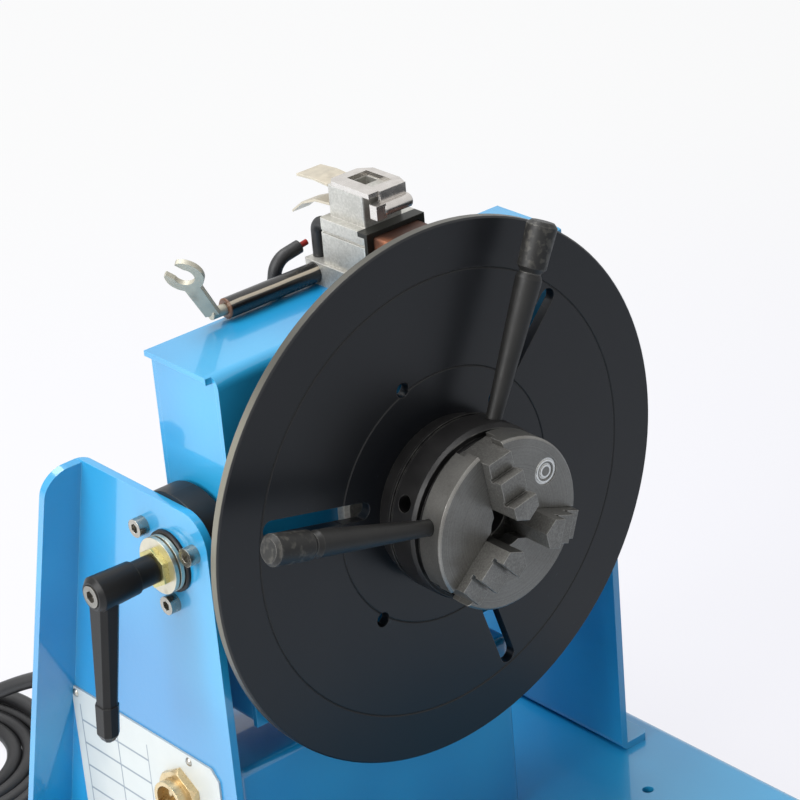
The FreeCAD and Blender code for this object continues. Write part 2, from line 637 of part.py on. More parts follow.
def gear_reducer():
    """Sealed worm reducer with a hollow output, bolted behind the bearing housing."""
    low, high = -MOTOR_DROP - MOTOR_R, 22.0
    case = box((-REDUCER_HALF, REDUCER_HALF), (HOUSING_BACK, HOUSING_BACK + REDUCER_DEPTH - 2), (low, high))
    case = round_edges(case, 6.0, Y)
    boss = cyl(12.0, V(0, HOUSING_BACK + REDUCER_DEPTH - 3, 0), V(0, HOUSING_BACK + REDUCER_DEPTH - 0.5, 0))
    ribs = [box((x, x + 2), (HOUSING_BACK + 2, HOUSING_BACK + REDUCER_DEPTH - 1), (low + 2, high - 4))
            for x in (-24, -16, 14, 22)]
    bore = cyl(TAIL_R + RUN, V(0, -30, 0), V(0, 30, 0))
    recess = cyl(JOURNAL_R + 3, V(0, HOUSING_BACK - 1, 0), V(0, HOUSING_BACK + 1, 0))
    return less(join([case, boss] + ribs), [bore, recess]).translated(PIVOT)


def drive_motor():
    centre = V(0, 0.5, -MOTOR_DROP)
    can = cyl(MOTOR_R, centre + X * (REDUCER_HALF + 2), centre + X * (HEAD_HALF - 12))
    can = bevel_rims(can, 1.2, lambda e: e.CenterOfMass.x > HEAD_HALF - 20)
    neck = cyl(6.0, V(REDUCER_HALF, 6, -MOTOR_DROP), V(REDUCER_HALF + 3, 6, -MOTOR_DROP))
    plate = box((REDUCER_HALF, REDUCER_HALF + 2), (HOUSING_BACK, HOUSING_BACK + 14),
                (-MOTOR_DROP - 14, -MOTOR_DROP + 14))
    brushes = [cyl(2.5, centre + V(HEAD_HALF - 20, 0, s * (MOTOR_R - 1)),
                   centre + V(HEAD_HALF - 20, 0, s * (MOTOR_R + 1.6))) for s in (-1, 1)]
    return join([can, neck, plate] + brushes).translated(PIVOT)


# ---- faceplate ------------------------------------------------------------------------------
SLOT_WIDTH = 6.5
SLOT_RADII = (38.0, 78.0)             # centres of the slot's round ends
SLOT_ANGLES = (47, 167, 287)
SMALL_HOLE_R = 2.75
SMALL_HOLE_RADIUS = 48.5
SMALL_HOLE_ANGLES = (108, 228, 348)
SCRIBED_RADII = (47.0, 82.0)
SCRIBE_DEPTH = 0.35
PLATE_SCREW_PCD = 32.0


def faceplate():
    plate = cyl(PLATE_R, from_face(0, 0, 0), from_face(0, PLATE_THICK, 0))
    plate = bevel_rims(plate, 0.6, lambda e: True)
    tools = [cyl(SPIGOT_R + RUN, from_face(0, -1, 0), from_face(0, PLATE_THICK + 1, 0))]
    for angle in SLOT_ANGLES:
        inner, outer = SLOT_RADII
        slot = join([box((inner, outer), (-1, PLATE_THICK + 1), (-SLOT_WIDTH / 2, SLOT_WIDTH / 2)),
                     cyl(SLOT_WIDTH / 2, V(inner, -1, 0), V(inner, PLATE_THICK + 1, 0)),
                     cyl(SLOT_WIDTH / 2, V(outer, -1, 0), V(outer, PLATE_THICK + 1, 0))])
        tools.append(spun(slot, -angle, V(0, 0, 0), Y).translated(FACE))
    for angle in SMALL_HOLE_ANGLES:
        tools.append(cyl(SMALL_HOLE_R, polar(SMALL_HOLE_RADIUS, angle, -1),
                         polar(SMALL_HOLE_RADIUS, angle, PLATE_THICK + 1)))
    for radius in SCRIBED_RADII:
        tools.append(turned([(-SCRIBE_DEPTH, radius + 0.7), (0.0, radius + 0.35), (SCRIBE_DEPTH, radius),
                             (0.0, radius - 0.35), (-SCRIBE_DEPTH, radius - 0.7)], FACE))
    return less(plate, tools)


# ---- scroll chuck -----------------------------------------------------------------------------
BACKPLATE = 5.0
BODY_THICK = 10.5
HUB_R = 18.0
CHUCK_BORE = 8.0
RING_R = 32.0
RING_GROOVES = 3
SCROLL_PITCH = 4.0
SCROLL_DEPTH = 1.8
SCROLL_START = 16.9                   # groove's radius where it opens into the bore
SCROLL_END = 34.0                     # and where it has run out past the rim
JAW_IN = 3.0                          # jaw travel towards the axis
JAW_OUT = 4.0                         # and outwards
JAW_WIDTH = 10.4
JAW_TONGUE = 14.0
TONGUE_THICK = 4.4
JAW_ANGLES = (100, 220, 340)
JAW_NOSE = 6.5                        # the jaw's tip, from the axis, at rest
JAW_LENGTH = 22.4
JAW_STEPS = ((0.0, 12.4), (7.8, 8.1), (16.1, 3.9))   # start along the jaw, height above the face
JAW_FIT = 0.1
BAR_HOLE_R = 3.0
BODY_BAR_ANGLE = 164.0
RING_BAR_ANGLE = 66.0
CHUCK_SCREW_PCD = 44.0

BODY_FRONT = -CHUCK_HEIGHT
BODY_BACK = BODY_FRONT + BODY_THICK
RING_SPAN = (BODY_BACK + SEAT, -BACKPLATE - SEAT)


def radial_hole(radius, angle, y, inner, outer):
    return cyl(radius, polar(inner, angle, y), polar(outer, angle, y))


def chuck_backplate():
    plate = ring(RING_R - 2, CHUCK_BORE, from_face(0, -BACKPLATE, 0), from_face(0, 0, 0))
    plate = bevel_rims(plate, 0.8, lambda e: e.BoundBox.XLength > RING_R and
                       e.CenterOfMass.y < FACE_Y - 1)
    return plate


def chuck_body():
    """Front of the chuck: a thick disc on a hub, with three T-slots for the jaws."""
    disc = cyl(CHUCK_R, from_face(0, BODY_FRONT, 0), from_face(0, BODY_BACK, 0))
    disc = bevel_rims(disc, 0.8, lambda e: e.CenterOfMass.y < FACE_Y + BODY_FRONT + 1)
    disc = bevel_rims(disc, 0.4, lambda e: e.CenterOfMass.y > FACE_Y + BODY_BACK - 0.5)
    hub = cyl(HUB_R, from_face(0, BODY_BACK - 1, 0), from_face(0, -BACKPLATE, 0))
    tools = [cyl(CHUCK_BORE, from_face(0, BODY_FRONT - 1, 0), from_face(0, 0, 0))]
    half, wide = JAW_WIDTH / 2 + JAW_FIT, JAW_TONGUE / 2 + JAW_FIT
    reach = CHUCK_R + 2
    for angle in JAW_ANGLES:
        narrow = box((2, reach), (BODY_FRONT - 1, BODY_BACK - TONGUE_THICK + 1), (-half, half))
        tongue = box((2, reach), (BODY_BACK - TONGUE_THICK - JAW_FIT, BODY_BACK + 0.1), (-wide, wide))
        for tool in (narrow, tongue):
            tools.append(spun(tool, -angle, V(0, 0, 0), Y).translated(FACE))
    bar_y = BODY_FRONT + BODY_THICK / 2 + 1.2
    for turn in (0, 120, 240):
        tools.append(radial_hole(BAR_HOLE_R, BODY_BAR_ANGLE + turn, bar_y, 20.0, CHUCK_R + 2))
    badge = from_face(18.4, BODY_FRONT, 13.0)
    for outer, inner in ((5.0, 4.2), (3.1, 2.4)):
        tools.append(ring(outer, inner, badge - Y, badge + Y * 0.4))
    tools.append(cyl(0.6, from_face(20.0, BODY_FRONT - 1, -15.0), from_face(20.0, BODY_FRONT + 1, -15.0)))
    return less(disc.fuse(hub), tools)


def spiral_groove(depth, start_y):
    """Archimedean groove of the scroll, half the pitch wide, open at both ends."""
    turns = (SCROLL_END - SCROLL_START) / SCROLL_PITCH
    steps = int(turns * 16)
    half = SCROLL_PITCH / 4 + 0.12

    def edge_line(offset):
        points = []
        for step in range(steps + 1):
            a = 2 * math.pi * turns * step / steps
            radius = SCROLL_START + SCROLL_PITCH * a / (2 * math.pi) + offset
            points.append(V(radius * math.cos(a), start_y, radius * math.sin(a)))
        curve = Part.BSplineCurve()
        curve.interpolate(points)
        return curve.toShape(), points

    low, low_points = edge_line(-half)
    high, high_points = edge_line(half)
    first = Part.makeLine(low_points[0], high_points[0])
    last = Part.makeLine(low_points[-1], high_points[-1])
    outline = Part.Wire(Part.__sortEdges__([low, last, high, first]))
    return Part.Face(outline).extrude(Y * depth)


def scroll_ring():
    """Black ring with the scroll on its front face and tommy-bar holes round its rim."""
    front, back = RING_SPAN
    inner = HUB_R + RUN
    body = turned([(front, inner), (front, RING_R - 1.2), (front + 3.4, RING_R), (back - 3.4, RING_R),
                   (back - 3.4, RING_R - 0.8), (back - 2.0, RING_R - 0.8), (back - 2.0, RING_R),
                   (back - 0.8, RING_R), (back, RING_R - 0.8), (back, inner)], FACE)
    tools = [spiral_groove(SCROLL_DEPTH + 1, front - 1).translated(FACE)]
    mid = (front + back) / 2
    for turn in (0, 90, 180, 270):
        tools.append(radial_hole(BAR_HOLE_R, RING_BAR_ANGLE + turn, mid, HUB_R + 3, RING_R + 2))
    return less(body, tools)


def jaw(number):
    """Stepped jaw on its T tongue; the teeth behind it sit in the scroll groove."""
    steps = []
    for index, (start, height) in enumerate(JAW_STEPS):
        end = JAW_STEPS[index + 1][0] if index < 2 else JAW_LENGTH
        steps.append(box((JAW_NOSE + start, JAW_NOSE + end),
                         (BODY_FRONT - height, BODY_BACK - TONGUE_THICK + 0.5),
                         (-JAW_WIDTH / 2, JAW_WIDTH / 2)))
    tongue = box((JAW_NOSE + 2, JAW_NOSE + JAW_LENGTH), (BODY_BACK - TONGUE_THICK, BODY_BACK - JAW_FIT),
                 (-JAW_TONGUE / 2, JAW_TONGUE / 2))
    blank = join(steps + [tongue])
    # the nose is a 120 degree wedge, and each step has a small undercut at its foot
    tools = []
    for s in (-1, 1):
        wedge = prism([V(JAW_NOSE, -60, 0), V(JAW_NOSE + 8, -60, s * 8 * math.tan(math.radians(60))),
                       V(JAW_NOSE - 6, -60, s * 20), V(JAW_NOSE - 6, -60, 0)], Y * 60)
        tools.append(wedge)
    for start, height in JAW_STEPS[1:]:
        tools.append(box((JAW_NOSE + start - 0.7, JAW_NOSE + start + 0.8),
                         (BODY_FRONT - height - 0.9, BODY_FRONT - height + 0.8), (-JAW_WIDTH, JAW_WIDTH)))
    blank = less(blank, tools)
    angle = JAW_ANGLES[number]
    solid = spun(blank, -angle, V(0, 0, 0), Y).translated(FACE)
    return solid.fuse(jaw_teeth(number))


def jaw_teeth(number):
    """Arc teeth that follow the scroll's spacing at this jaw's angle."""
    angle = JAW_ANGLES[number] % 360
    front, back = BODY_BACK - JAW_FIT - 0.5, RING_SPAN[0] + SCROLL_DEPTH - 0.3
    tooth = SCROLL_PITCH / 4 - 0.3
    teeth = []
    for turn in range(int((SCROLL_END - SCROLL_START) / SCROLL_PITCH) + 1):
        radius = SCROLL_START + SCROLL_PITCH * (turn + angle / 360)
        if radius - tooth - JAW_IN < HUB_R + SEAT or radius + tooth > JAW_NOSE + JAW_LENGTH:
            continue
        tooth_ring = ring(radius + tooth, radius - tooth, from_face(0, front, 0), from_face(0, back, 0))
        sector = box((HUB_R, RING_R + 5), (front - 1, back + 1), (-3.0, 3.0))
        teeth.append(tooth_ring.common(spun(sector, -angle, V(0, 0, 0), Y).translated(FACE)))
    return teeth


BAR_LENGTH = 79.0
BAR_GRIP_R = 5.5
BAR_GRIP = 18.0
BAR_TIP_R = BAR_HOLE_R - 2 * RUN
BAR_ENTRY = 9.0                       # how far a bar goes into its hole


def tommy_bar(angle, y, rim, entry=BAR_ENTRY):
    """Tapered bar with a parallel grip end and a neck behind it."""
    start = rim - entry
    end = start + BAR_LENGTH
    neck = end - BAR_GRIP
    points = [(start, 0), (start, BAR_TIP_R - 0.6), (start + 0.6, BAR_TIP_R),
              (rim + 2, BAR_TIP_R), (neck - 4, BAR_GRIP_R - 0.8), (neck - 2, BAR_GRIP_R - 0.8),
              (neck, BAR_GRIP_R - 1.8), (neck + 2, BAR_GRIP_R - 0.3), (end - 1.4, BAR_GRIP_R),
              (end, BAR_GRIP_R - 1.4), (end, 0)]
    outline = [V(along_x, 0, radius) for along_x, radius in points]
    bar = Part.Face(Part.makePolygon(outline + [outline[0]])).revolve(V(0, 0, 0), X, 360)
    return spun(bar, -angle, V(0, 0, 0), Y).translated(from_face(0, y, 0))


# ---- earthing brush on the head's lid ------------------------------------------------------------
BLOCK_X = (-7.5, 22.0)
BLOCK_Y = (-1.0, 22.0)
BLOCK_TOP = HEAD_TOP + 8.5
HOLDER_X = (-6.0, 20.0)
HOLDER_Y = (-11.0, 13.0)
SHELF = HEAD_TOP + 25.5               # top of the holder's wide lower part
TOWER_X = (-2.5, 14.5)                # its narrow upper part
TOWER_Y = (-7.5, 11.4)
HOLDER_TOP = HEAD_TOP + 37.0
BRUSH_X = (-3.0, 17.5)
BRUSH_Z = (HEAD_TOP + 10.5, HEAD_TOP + 23.5)
BRUSH_LENGTH = 22.0
BRUSH_TRAVEL = 5.0
BRUSH_SLACK = 0.2
COVER_Y = (HOLDER_Y[0] - 1.5, TOWER_Y[0])
CABLE_R = 3.8
CABLE_AT = (16.5, HEAD_TOP + CABLE_R + 0.5)     # y and z from the tilt axis
CABLE_END = -47.5
LUG_THICK = 2.0
LUG_CENTRE = V(-62.3, 0, HEAD_TOP + 22.0)
LUG_ROLL = 56.0                       # the fork's face is rolled up about its neck
LUG_R = 6.9
LUG_EYE = 3.7
PIGTAIL_R = 2.4


def brush_block():
    block = box(BLOCK_X, BLOCK_Y, (HEAD_TOP, BLOCK_TOP))
    block = round_edges(block, 1.0, Z)
    seat = cyl(CABLE_R, V(BLOCK_X[0] - 1, CABLE_AT[0], CABLE_AT[1]),
               V(BLOCK_X[0] + 2, CABLE_AT[0], CABLE_AT[1]))
    return block.cut(seat).translated(PIVOT)


def brush_cavity(back):
    return box((BRUSH_X[0] - BRUSH_SLACK, BRUSH_X[1] + BRUSH_SLACK), (COVER_Y[0] - 1, back),
               (BRUSH_Z[0] - BRUSH_SLACK, BRUSH_Z[1] + BRUSH_SLACK))


def brush_holder():
    """Cast holder: a wide lower part with the brush's pocket, and a narrow tower."""
    lower = box(HOLDER_X, HOLDER_Y, (BLOCK_TOP, SHELF))
    lower = round_edges(lower, 0.8, Z)
    tower = box(TOWER_X, TOWER_Y, (SHELF - LAP, HOLDER_TOP))
    tower = round_edges(tower, 0.8, Z)
    groove = box((HOLDER_X[0] - 1, HOLDER_X[0] + 0.8), (HOLDER_Y[0] - 1, HOLDER_Y[1] + 1), (SHELF - 5.5, SHELF - 4.3))
    pocket = brush_cavity(HOLDER_Y[0] + BRUSH_TRAVEL + 6)
    seat = box((HOLDER_X[0] - 1, HOLDER_X[1] + 1), (HOLDER_Y[0] - 1, COVER_Y[1]), (BRUSH_Z[1] + BRUSH_SLACK, SHELF + 1))
    well = box((TOWER_X[0] + 6.0, TOWER_X[1] - 3.0), (0.5, TOWER_Y[1] - 4.5), (HOLDER_TOP - 5, HOLDER_TOP + 1))
    return less(join([lower, tower]), [groove, pocket, seat, well]).translated(PIVOT)


def brush_box():
    """Dark cover: a front frame and a top plate over the brush's pocket."""
    frame = box(HOLDER_X, (COVER_Y[0], HOLDER_Y[0]), (BLOCK_TOP + 0.5, SHELF))
    frame = frame.cut(brush_cavity(HOLDER_Y[0] + 1))
    plate = box(HOLDER_X, (COVER_Y[0], COVER_Y[1]), (BRUSH_Z[1] + BRUSH_SLACK, SHELF))
    return join([frame, plate]).translated(PIVOT)


def contact_brush():
    tip = PLATE_THICK + SEAT - PIVOT_BACK
    brush = box(BRUSH_X, (tip, tip + BRUSH_LENGTH), BRUSH_Z)
    return round_edges(brush, 0.8, Y).translated(PIVOT)


CLIP_THICK = 1.8


def clip_frame():
    """Nickel frame with cut corners and a window on top of the tower."""
    low, high = HOLDER_TOP, HOLDER_TOP + CLIP_THICK
    left, right = TOWER_X[0], TOWER_X[1] + 0.5
    front, back = TOWER_Y[0] - 3.5, TOWER_Y[1] - 0.4
    cut = 4.0
    outline = [V(left, front, low), V(right - 1.5, front, low), V(right, front + cut, low),
               V(right, back - cut, low), V(right - cut, back, low), V(left + 2, back, low),
               V(left, back - 2, low)]
    frame = prism(outline, Z * (high - low))
    window = box((left + 5.5, right - 3.0), (TOWER_Y[0] + 1.0, back - 4.0), (low - 1, high + 1))
    return frame.cut(window).translated(PIVOT)


def clip_roll():
    """Rolled end of the pressure spring, hung from the frame's front edge."""
    at = V(0, TOWER_Y[0] - 5.0, HOLDER_TOP - 4.6)
    roll = cyl(2.5, V(1.7, at.y, at.z), V(13.9, at.y, at.z))
    roll = bevel_rims(roll, 0.4, lambda e: True)
    strap = box((1.9, 13.4), (at.y + 0.6, TOWER_Y[0] - 3.5 + LAP), (at.z, HOLDER_TOP + CLIP_THICK))
    ear = box((TOWER_X[0] + 0.4, 2.2), (at.y - 1.8, at.y + 1.9), (at.z - 2.6, at.z + 2.6))
    return join([roll, strap, ear]).translated(PIVOT)


def leaf(x, points, thickness):
    """Leaf spring: a bent strip given by its side view as (y, z) points."""
    strips = []
    for (y0, z0), (y1, z1) in zip(points, points[1:]):
        strips.append(prism([V(x[0], y0, z0), V(x[0], y1, z1), V(x[0], y1, z1 + thickness),
                             V(x[0], y0, z0 + thickness)], X * (x[1] - x[0])))
    return join(strips).translated(PIVOT)


LEAF_THICK = 0.9


def upper_leaf():
    root = HOLDER_TOP - LEAF_THICK
    start = TOWER_Y[1]
    return leaf((-2.3, 8.7), [(start, root), (start + 8, root + 0.5), (start + 17, root - 0.2)], LEAF_THICK)


def lower_leaf():
    root = SHELF + 3.6
    start = TOWER_Y[1]
    return leaf((-2.3, 5.5), [(start, root), (start + 8, root - 0.6), (start + 15.5, root - 3.4),
                              (start + 21.5, root - 8.0)], LEAF_THICK)


def earth_cable():
    """Stub of thick earthing cable, laid along the lid, with its bare core showing."""
    y, z = CABLE_AT
    sheath = cyl(CABLE_R - RUN, V(CABLE_END, y, z), V(BLOCK_X[0] + 2, y, z))
    sheath = bevel_rims(sheath, 0.5, lambda e: e.CenterOfMass.x < CABLE_END + 1)
    socket = cyl(2.0 + RUN, V(CABLE_END - 1, y, z), V(CABLE_END + 8, y, z))
    return sheath.cut(socket).translated(PIVOT)


def fork_lug():
    """Crimped lug: barrel in the cable's end, neck turned up, open fork."""
    y, z = CABLE_AT
    barrel = cyl(2.0, V(CABLE_END - 6, y, z), V(CABLE_END + 7, y, z))
    foot = V(CABLE_END - 5, y, z)
    centre = V(LUG_CENTRE.x, y, LUG_CENTRE.z)
    run = (centre - foot).normalize()
    side = V(-run.z, 0, run.x).normalize()
    back = Y * (LUG_THICK / 2)
    neck = prism([foot + side * 2.7 - back, foot - side * 2.7 - back, centre - side * 3.2 - back,
                  centre + side * 3.2 - back], Y * LUG_THICK)
    head = cyl(LUG_R, centre - back, centre + back)
    # the fork's mouth opens between the neck's own line and its left side
    mouth_run = run * math.cos(math.radians(32)) + side * math.sin(math.radians(32))
    across = V(-mouth_run.z, 0, mouth_run.x)
    start = centre - Y * 2
    mouth = prism([start + across * 3.2, start - across * 3.2,
                   start - across * 3.2 + mouth_run * 14, start + across * 3.2 + mouth_run * 14], Y * 4)
    eye = cyl(LUG_EYE, centre - Y * 2, centre + Y * 2)
    trim = prism([start + across * 12 + mouth_run * 5.4, start - across * 12 + mouth_run * 5.4,
                  start - across * 12 + mouth_run * 14, start + across * 12 + mouth_run * 14], Y * 4)
    fork = less(join([neck, head]), [mouth, eye, trim])
    fork = spun(fork, -LUG_ROLL, foot, run)
    return join([barrel, fork]).translated(PIVOT)


def tube(points, radius, bend):
    """Round bar along straight runs joined by tangent arcs."""
    edges = []
    start = points[0]
    for before, corner, after in zip(points, points[1:], points[2:]):
        into = (corner - before).normalize()
        out = (after - corner).normalize()
        turn = math.acos(max(-1.0, min(1.0, into.dot(out))))
        arc_radius = bend(before, corner, after)
        setback = arc_radius * math.tan(turn / 2)
        first, last = corner - into * setback, corner + out * setback
        middle_way = (out - into).normalize()
        centre = corner + middle_way * (arc_radius / math.cos(turn / 2))
        middle = centre - middle_way * arc_radius
        edges.append(Part.makeLine(start, first))
        edges.append(Part.Arc(first, middle, last).toShape())
        start = last
    edges.append(Part.makeLine(start, points[-1]))
    path = Part.Wire(edges)
    circle = Part.Wire(Part.makeCircle(radius, points[0], points[1] - points[0]))
    return path.makePipeShell([circle], True, True)


def pigtail():
    """The brush's flexible lead, from the holder's back down onto the block."""
    x = -2.5
    points = [V(x, HOLDER_Y[1], SHELF - 4.0), V(x, HOLDER_Y[1] + 6.2, SHELF - 4.0),
              V(x, HOLDER_Y[1] + 6.2, BLOCK_TOP)]
    return tube([PIVOT + p for p in points], PIGTAIL_R, lambda a, b, c: 3.6)


LEAD_R = 2.5
LEAD_BEND = 7.0
LEAD_POINTS = [V(GROMMET_AT.x, HEAD_REAR - THIN_SHEET, GROMMET_AT.z), V(-21.5, HEAD_REAR + 10, 41),
               V(-19.5, HEAD_REAR + 8.5, 60), V(-16.5, HEAD_REAR + 7.5, 77.5),
               V(-6.2, HEAD_REAR + 7.0, 79.6)]
CORE_R = 1.1
CORE_STUB = 3.5


def signal_lead():
    """Sheathed lead that comes out of the head's back and rises behind the cable."""
    points = [PIVOT + p for p in LEAD_POINTS]
    return tube(points, LEAD_R, lambda a, b, c: LEAD_BEND)


def lead_core():
    """Short end of the lead's inner wire, standing out of the sheath."""
    end, before = LEAD_POINTS[-1], LEAD_POINTS[-2]
    way = (end - before).normalize()
    return cyl(CORE_R, end, end + way * CORE_STUB).translated(PIVOT)


def head_grommet():
    y = HEAD_REAR
    at = V(GROMMET_AT.x, 0, GROMMET_AT.z)
    body = ring(GROMMET_R, LEAD_R, at + Y * y, at + Y * (y + 2.0))
    neck = ring(GROMMET_R - 1.1, LEAD_R, at + Y * (y - THIN_SHEET - 1), at + Y * (y + LAP))
    flange = ring(GROMMET_R, LEAD_R, at + Y * (y - THIN_SHEET - 1.2), at + Y * (y - THIN_SHEET))
    return join([body, neck, flange]).translated(PIVOT)


# ---- control box -------------------------------------------------------------------------------
BOX_X = (-CHEEK_INNER + 0.5, 38.0)
BOX_Y = (FACE_Y + 16.0, BASE_LENGTH / 2 - BOX_MARGIN)
BOX_HEIGHT = 75.5
BOX_TOP = TRAY_TOP + BOX_HEIGHT
KNOB_AT = V(-60.0, BOX_Y[0], TRAY_TOP + 25.0)
KNOB_R = 11.0
KNOB_DEPTH = 14.0
SHAFT_R = 3.0
ROCKER_X = (-25.0, 0.0)
ROCKER_Z = TRAY_TOP + 10.0
ROCKER_HALF = (9.5, 5.5)              # half width and half height of the bezel
GLAND_AT = V(-45.0, BOX_Y[1], TRAY_TOP + 25.0)
GLAND_R = 6.0


def control_box():
    """Folded cover over the electronics, open below onto the tray."""
    shell = box(BOX_X, BOX_Y, (TRAY_TOP, BOX_TOP))
    shell = round_edges(shell, BEND - 1, Z)
    rim = [e for e in shell.Edges if abs(e.CenterOfMass.z - BOX_TOP) < 0.01]
    shell = shell.makeFillet(BEND - 1.5, rim)
    inner = box((BOX_X[0] + THIN_SHEET, BOX_X[1] - THIN_SHEET),
                (BOX_Y[0] + THIN_SHEET, BOX_Y[1] - THIN_SHEET), (TRAY_TOP - 1, BOX_TOP - THIN_SHEET))
    tools = [inner, cyl(SHAFT_R + 1.5, KNOB_AT - Y * 2, KNOB_AT + Y * 4),
             cyl(GLAND_R + HOLE_SLACK, GLAND_AT - Y * 4, GLAND_AT + Y * 2)]
    for x in ROCKER_X:
        tools.append(box((x - ROCKER_HALF[0] + 1, x + ROCKER_HALF[0] - 1), (BOX_Y[0] - 1, BOX_Y[0] + 4),
                         (ROCKER_Z - ROCKER_HALF[1] + 1, ROCKER_Z + ROCKER_HALF[1] - 1)))
    socket_room = cyl(SOCKET_R + 3.5, SOCKET_AT, V(BOX_X[0] + 4, SOCKET_AT.y, SOCKET_AT.z))
    tools.append(socket_room)
    for row in range(5):
        z = TRAY_TOP + 30 + 7 * row
        tools.append(box((BOX_X[1] - 4, BOX_X[1] + 1), (BOX_Y[0] + 35, BOX_Y[1] - 25), (z, z + 2.5)))
    return less(shell, tools)


def circuit_board():
    """Speed controller: board on posts with a heat sink, capacitors and a relay."""
    x0, y0, z0 = BOX_X[0] + 7.5, BOX_Y[1] - 72.0, TRAY_TOP + 8.0
    board = box((x0, x0 + 62), (y0, y0 + 55), (z0, z0 + 1.6))
    posts = [cyl(3.0, V(x, y, TRAY_TOP), V(x, y, z0 + LAP))
             for x in (x0 + 5, x0 + 57) for y in (y0 + 5, y0 + 50)]
    sink = [box((x0 + 8, x0 + 30), (y0 + 12, y0 + 14), (z0 + 1, z0 + 26))]
    sink += [box((x0 + 8 + 5 * n, x0 + 9.5 + 5 * n), (y0 + 13, y0 + 22), (z0 + 1, z0 + 26)) for n in range(5)]
    cans = [cyl(5.0, V(x0 + x, y0 + 38, z0 + 1), V(x0 + x, y0 + 38, z0 + 22)) for x in (16, 30)]
    relay = box((x0 + 40, x0 + 56), (y0 + 14, y0 + 32), (z0 + 1, z0 + 16))
    return join([board] + posts + sink + cans + [relay])


def power_supply():
    """Switching supply in a folded case, screwed to the tray."""
    case = box((BOX_X[1] - 48, BOX_X[1] - 8), (BOX_Y[0] + 20, BOX_Y[1] - 12), (TRAY_TOP, TRAY_TOP + 34))
    case = round_edges(case, 2.0, Y, lambda m: m.z > TRAY_TOP + 30)
    slots = [box((BOX_X[1] - 49, BOX_X[1] - 7), (BOX_Y[0] + 30 + 7 * n, BOX_Y[0] + 32.5 + 7 * n), (TRAY_TOP + 28, TRAY_TOP + 31))
             for n in range(7)]
    return less(case, slots)


def speed_control():
    """Potentiometer behind the panel, with its bush and nut in front."""
    can = cyl(8.0, KNOB_AT + Y * (THIN_SHEET + 9), KNOB_AT + Y * THIN_SHEET)
    bush = cyl(SHAFT_R + 1.2, KNOB_AT + Y * (THIN_SHEET + 1), KNOB_AT - Y * 2.2)
    nut = hexagon(11.0, KNOB_AT, KNOB_AT - Y * 2.0)
    bore = cyl(SHAFT_R + RUN, KNOB_AT - Y * 4, KNOB_AT + Y * (THIN_SHEET + 7))
    return join([can, bush, nut]).cut(bore)


def speed_knob():
    """Fluted knob with a skirt and a pointer rib, on the potentiometer's shaft."""
    base = KNOB_AT - Y * (2.2 + SEAT)
    tip = base - Y * KNOB_DEPTH
    skirt = cone(KNOB_R + 1.5, KNOB_R, base, base - Y * 3)
    grip = cone(KNOB_R - 1, KNOB_R - 2, base - Y * 2.5, tip)
    flutes = []
    for number in range(16):
        a = math.radians(22.5 * number)
        at = V(KNOB_R * math.cos(a), 0, KNOB_R * math.sin(a))
        flutes.append(cyl(1.5, base + at - Y * 4, tip + at - Y))
    pointer = box((-0.7, 0.7), (-0.6, 1.0), (2.0, KNOB_R - 1.5)).translated(tip)
    shaft = cyl(SHAFT_R, base - Y * 2, KNOB_AT + Y * (THIN_SHEET + 6))
    return join([less(join([skirt, grip]), flutes), pointer, shaft])


ROCKER_TILT = 8.0
ROCKER_PIVOT = 1.0                    # how far the rocker's axis lies behind the panel's face


def rocker_bezels():
    """Snap-in switch frames with their cases behind the panel."""
    frames = []
    for x in ROCKER_X:
        half_w, half_h = ROCKER_HALF
        frame = box((x - half_w, x + half_w), (BOX_Y[0] - 2.0, BOX_Y[0]), (ROCKER_Z - half_h, ROCKER_Z + half_h))
        frame = round_edges(frame, 0.8, Y)
        case = box((x - half_w + 1.1, x + half_w - 1.1), (BOX_Y[0] - 1, BOX_Y[0] + 14),
                   (ROCKER_Z - half_h + 1.1, ROCKER_Z + half_h - 1.1))
        well = box((x - half_w + 1.8, x + half_w - 1.8), (BOX_Y[0] - 3, BOX_Y[0] + 8),
                   (ROCKER_Z - half_h + 1.8, ROCKER_Z + half_h - 1.8))
        frames.append(join([frame, case]).cut(well))
    return frames


def rocker(x, tip):
    """Rocker that tips left and right about an upright axis; tip is its angle at rest."""
    half = ROCKER_HALF[0] - 1.8 - 3 * SEAT
    tall = ROCKER_HALF[1] - 1.8 - SEAT
    y = BOX_Y[0]
    outline = [V(x - half, y - 3.4, 0), V(x, y - 1.6, 0), V(x + half, y - 3.4, 0),
               V(x + half - 1.4, y + 2.5, 0), V(x - half + 1.4, y + 2.5, 0)]
    body = prism([p + Z * (ROCKER_Z - tall) for p in outline], Z * 2 * tall)
    axle = V(x, y + ROCKER_PIVOT, ROCKER_Z - tall)
    hub = cyl(2.4, axle, axle + Z * 2 * tall)
    return spun(join([body, hub]), tip, axle, Z)


# ---- mains lead -----------------------------------------------------------------------------------
CORD_R = 3.25
BOOT_LENGTH = 30.0
COIL_AT = V(-92.0, FACE_Y + 236.0, 0)
COIL_IN = 32.0                        # middle of the innermost turn
COIL_OUT = 54.5                       # middle of the outermost
COIL_STEP = 6.6                       # from one turn to the next
CORD_POINTS = [V(GLAND_AT.x, GLAND_AT.y + 6 + BOOT_LENGTH, GLAND_AT.z), V(-45, 169, 44.5), V(-45.5, 192, 40),
               V(-48, 212, 31), V(-56, 231, 20), V(-69, 246, 12), V(-89, 256, 6), V(-110.5, 252.5, CORD_R + 0.3)]
TAIL_POINTS = [V(-92, 164.9, CORD_R + 0.3), V(-70, 165.5, CORD_R + 0.3), V(-50, 170, CORD_R + 0.4),
               V(-32, 174, CORD_R + 1.6)]


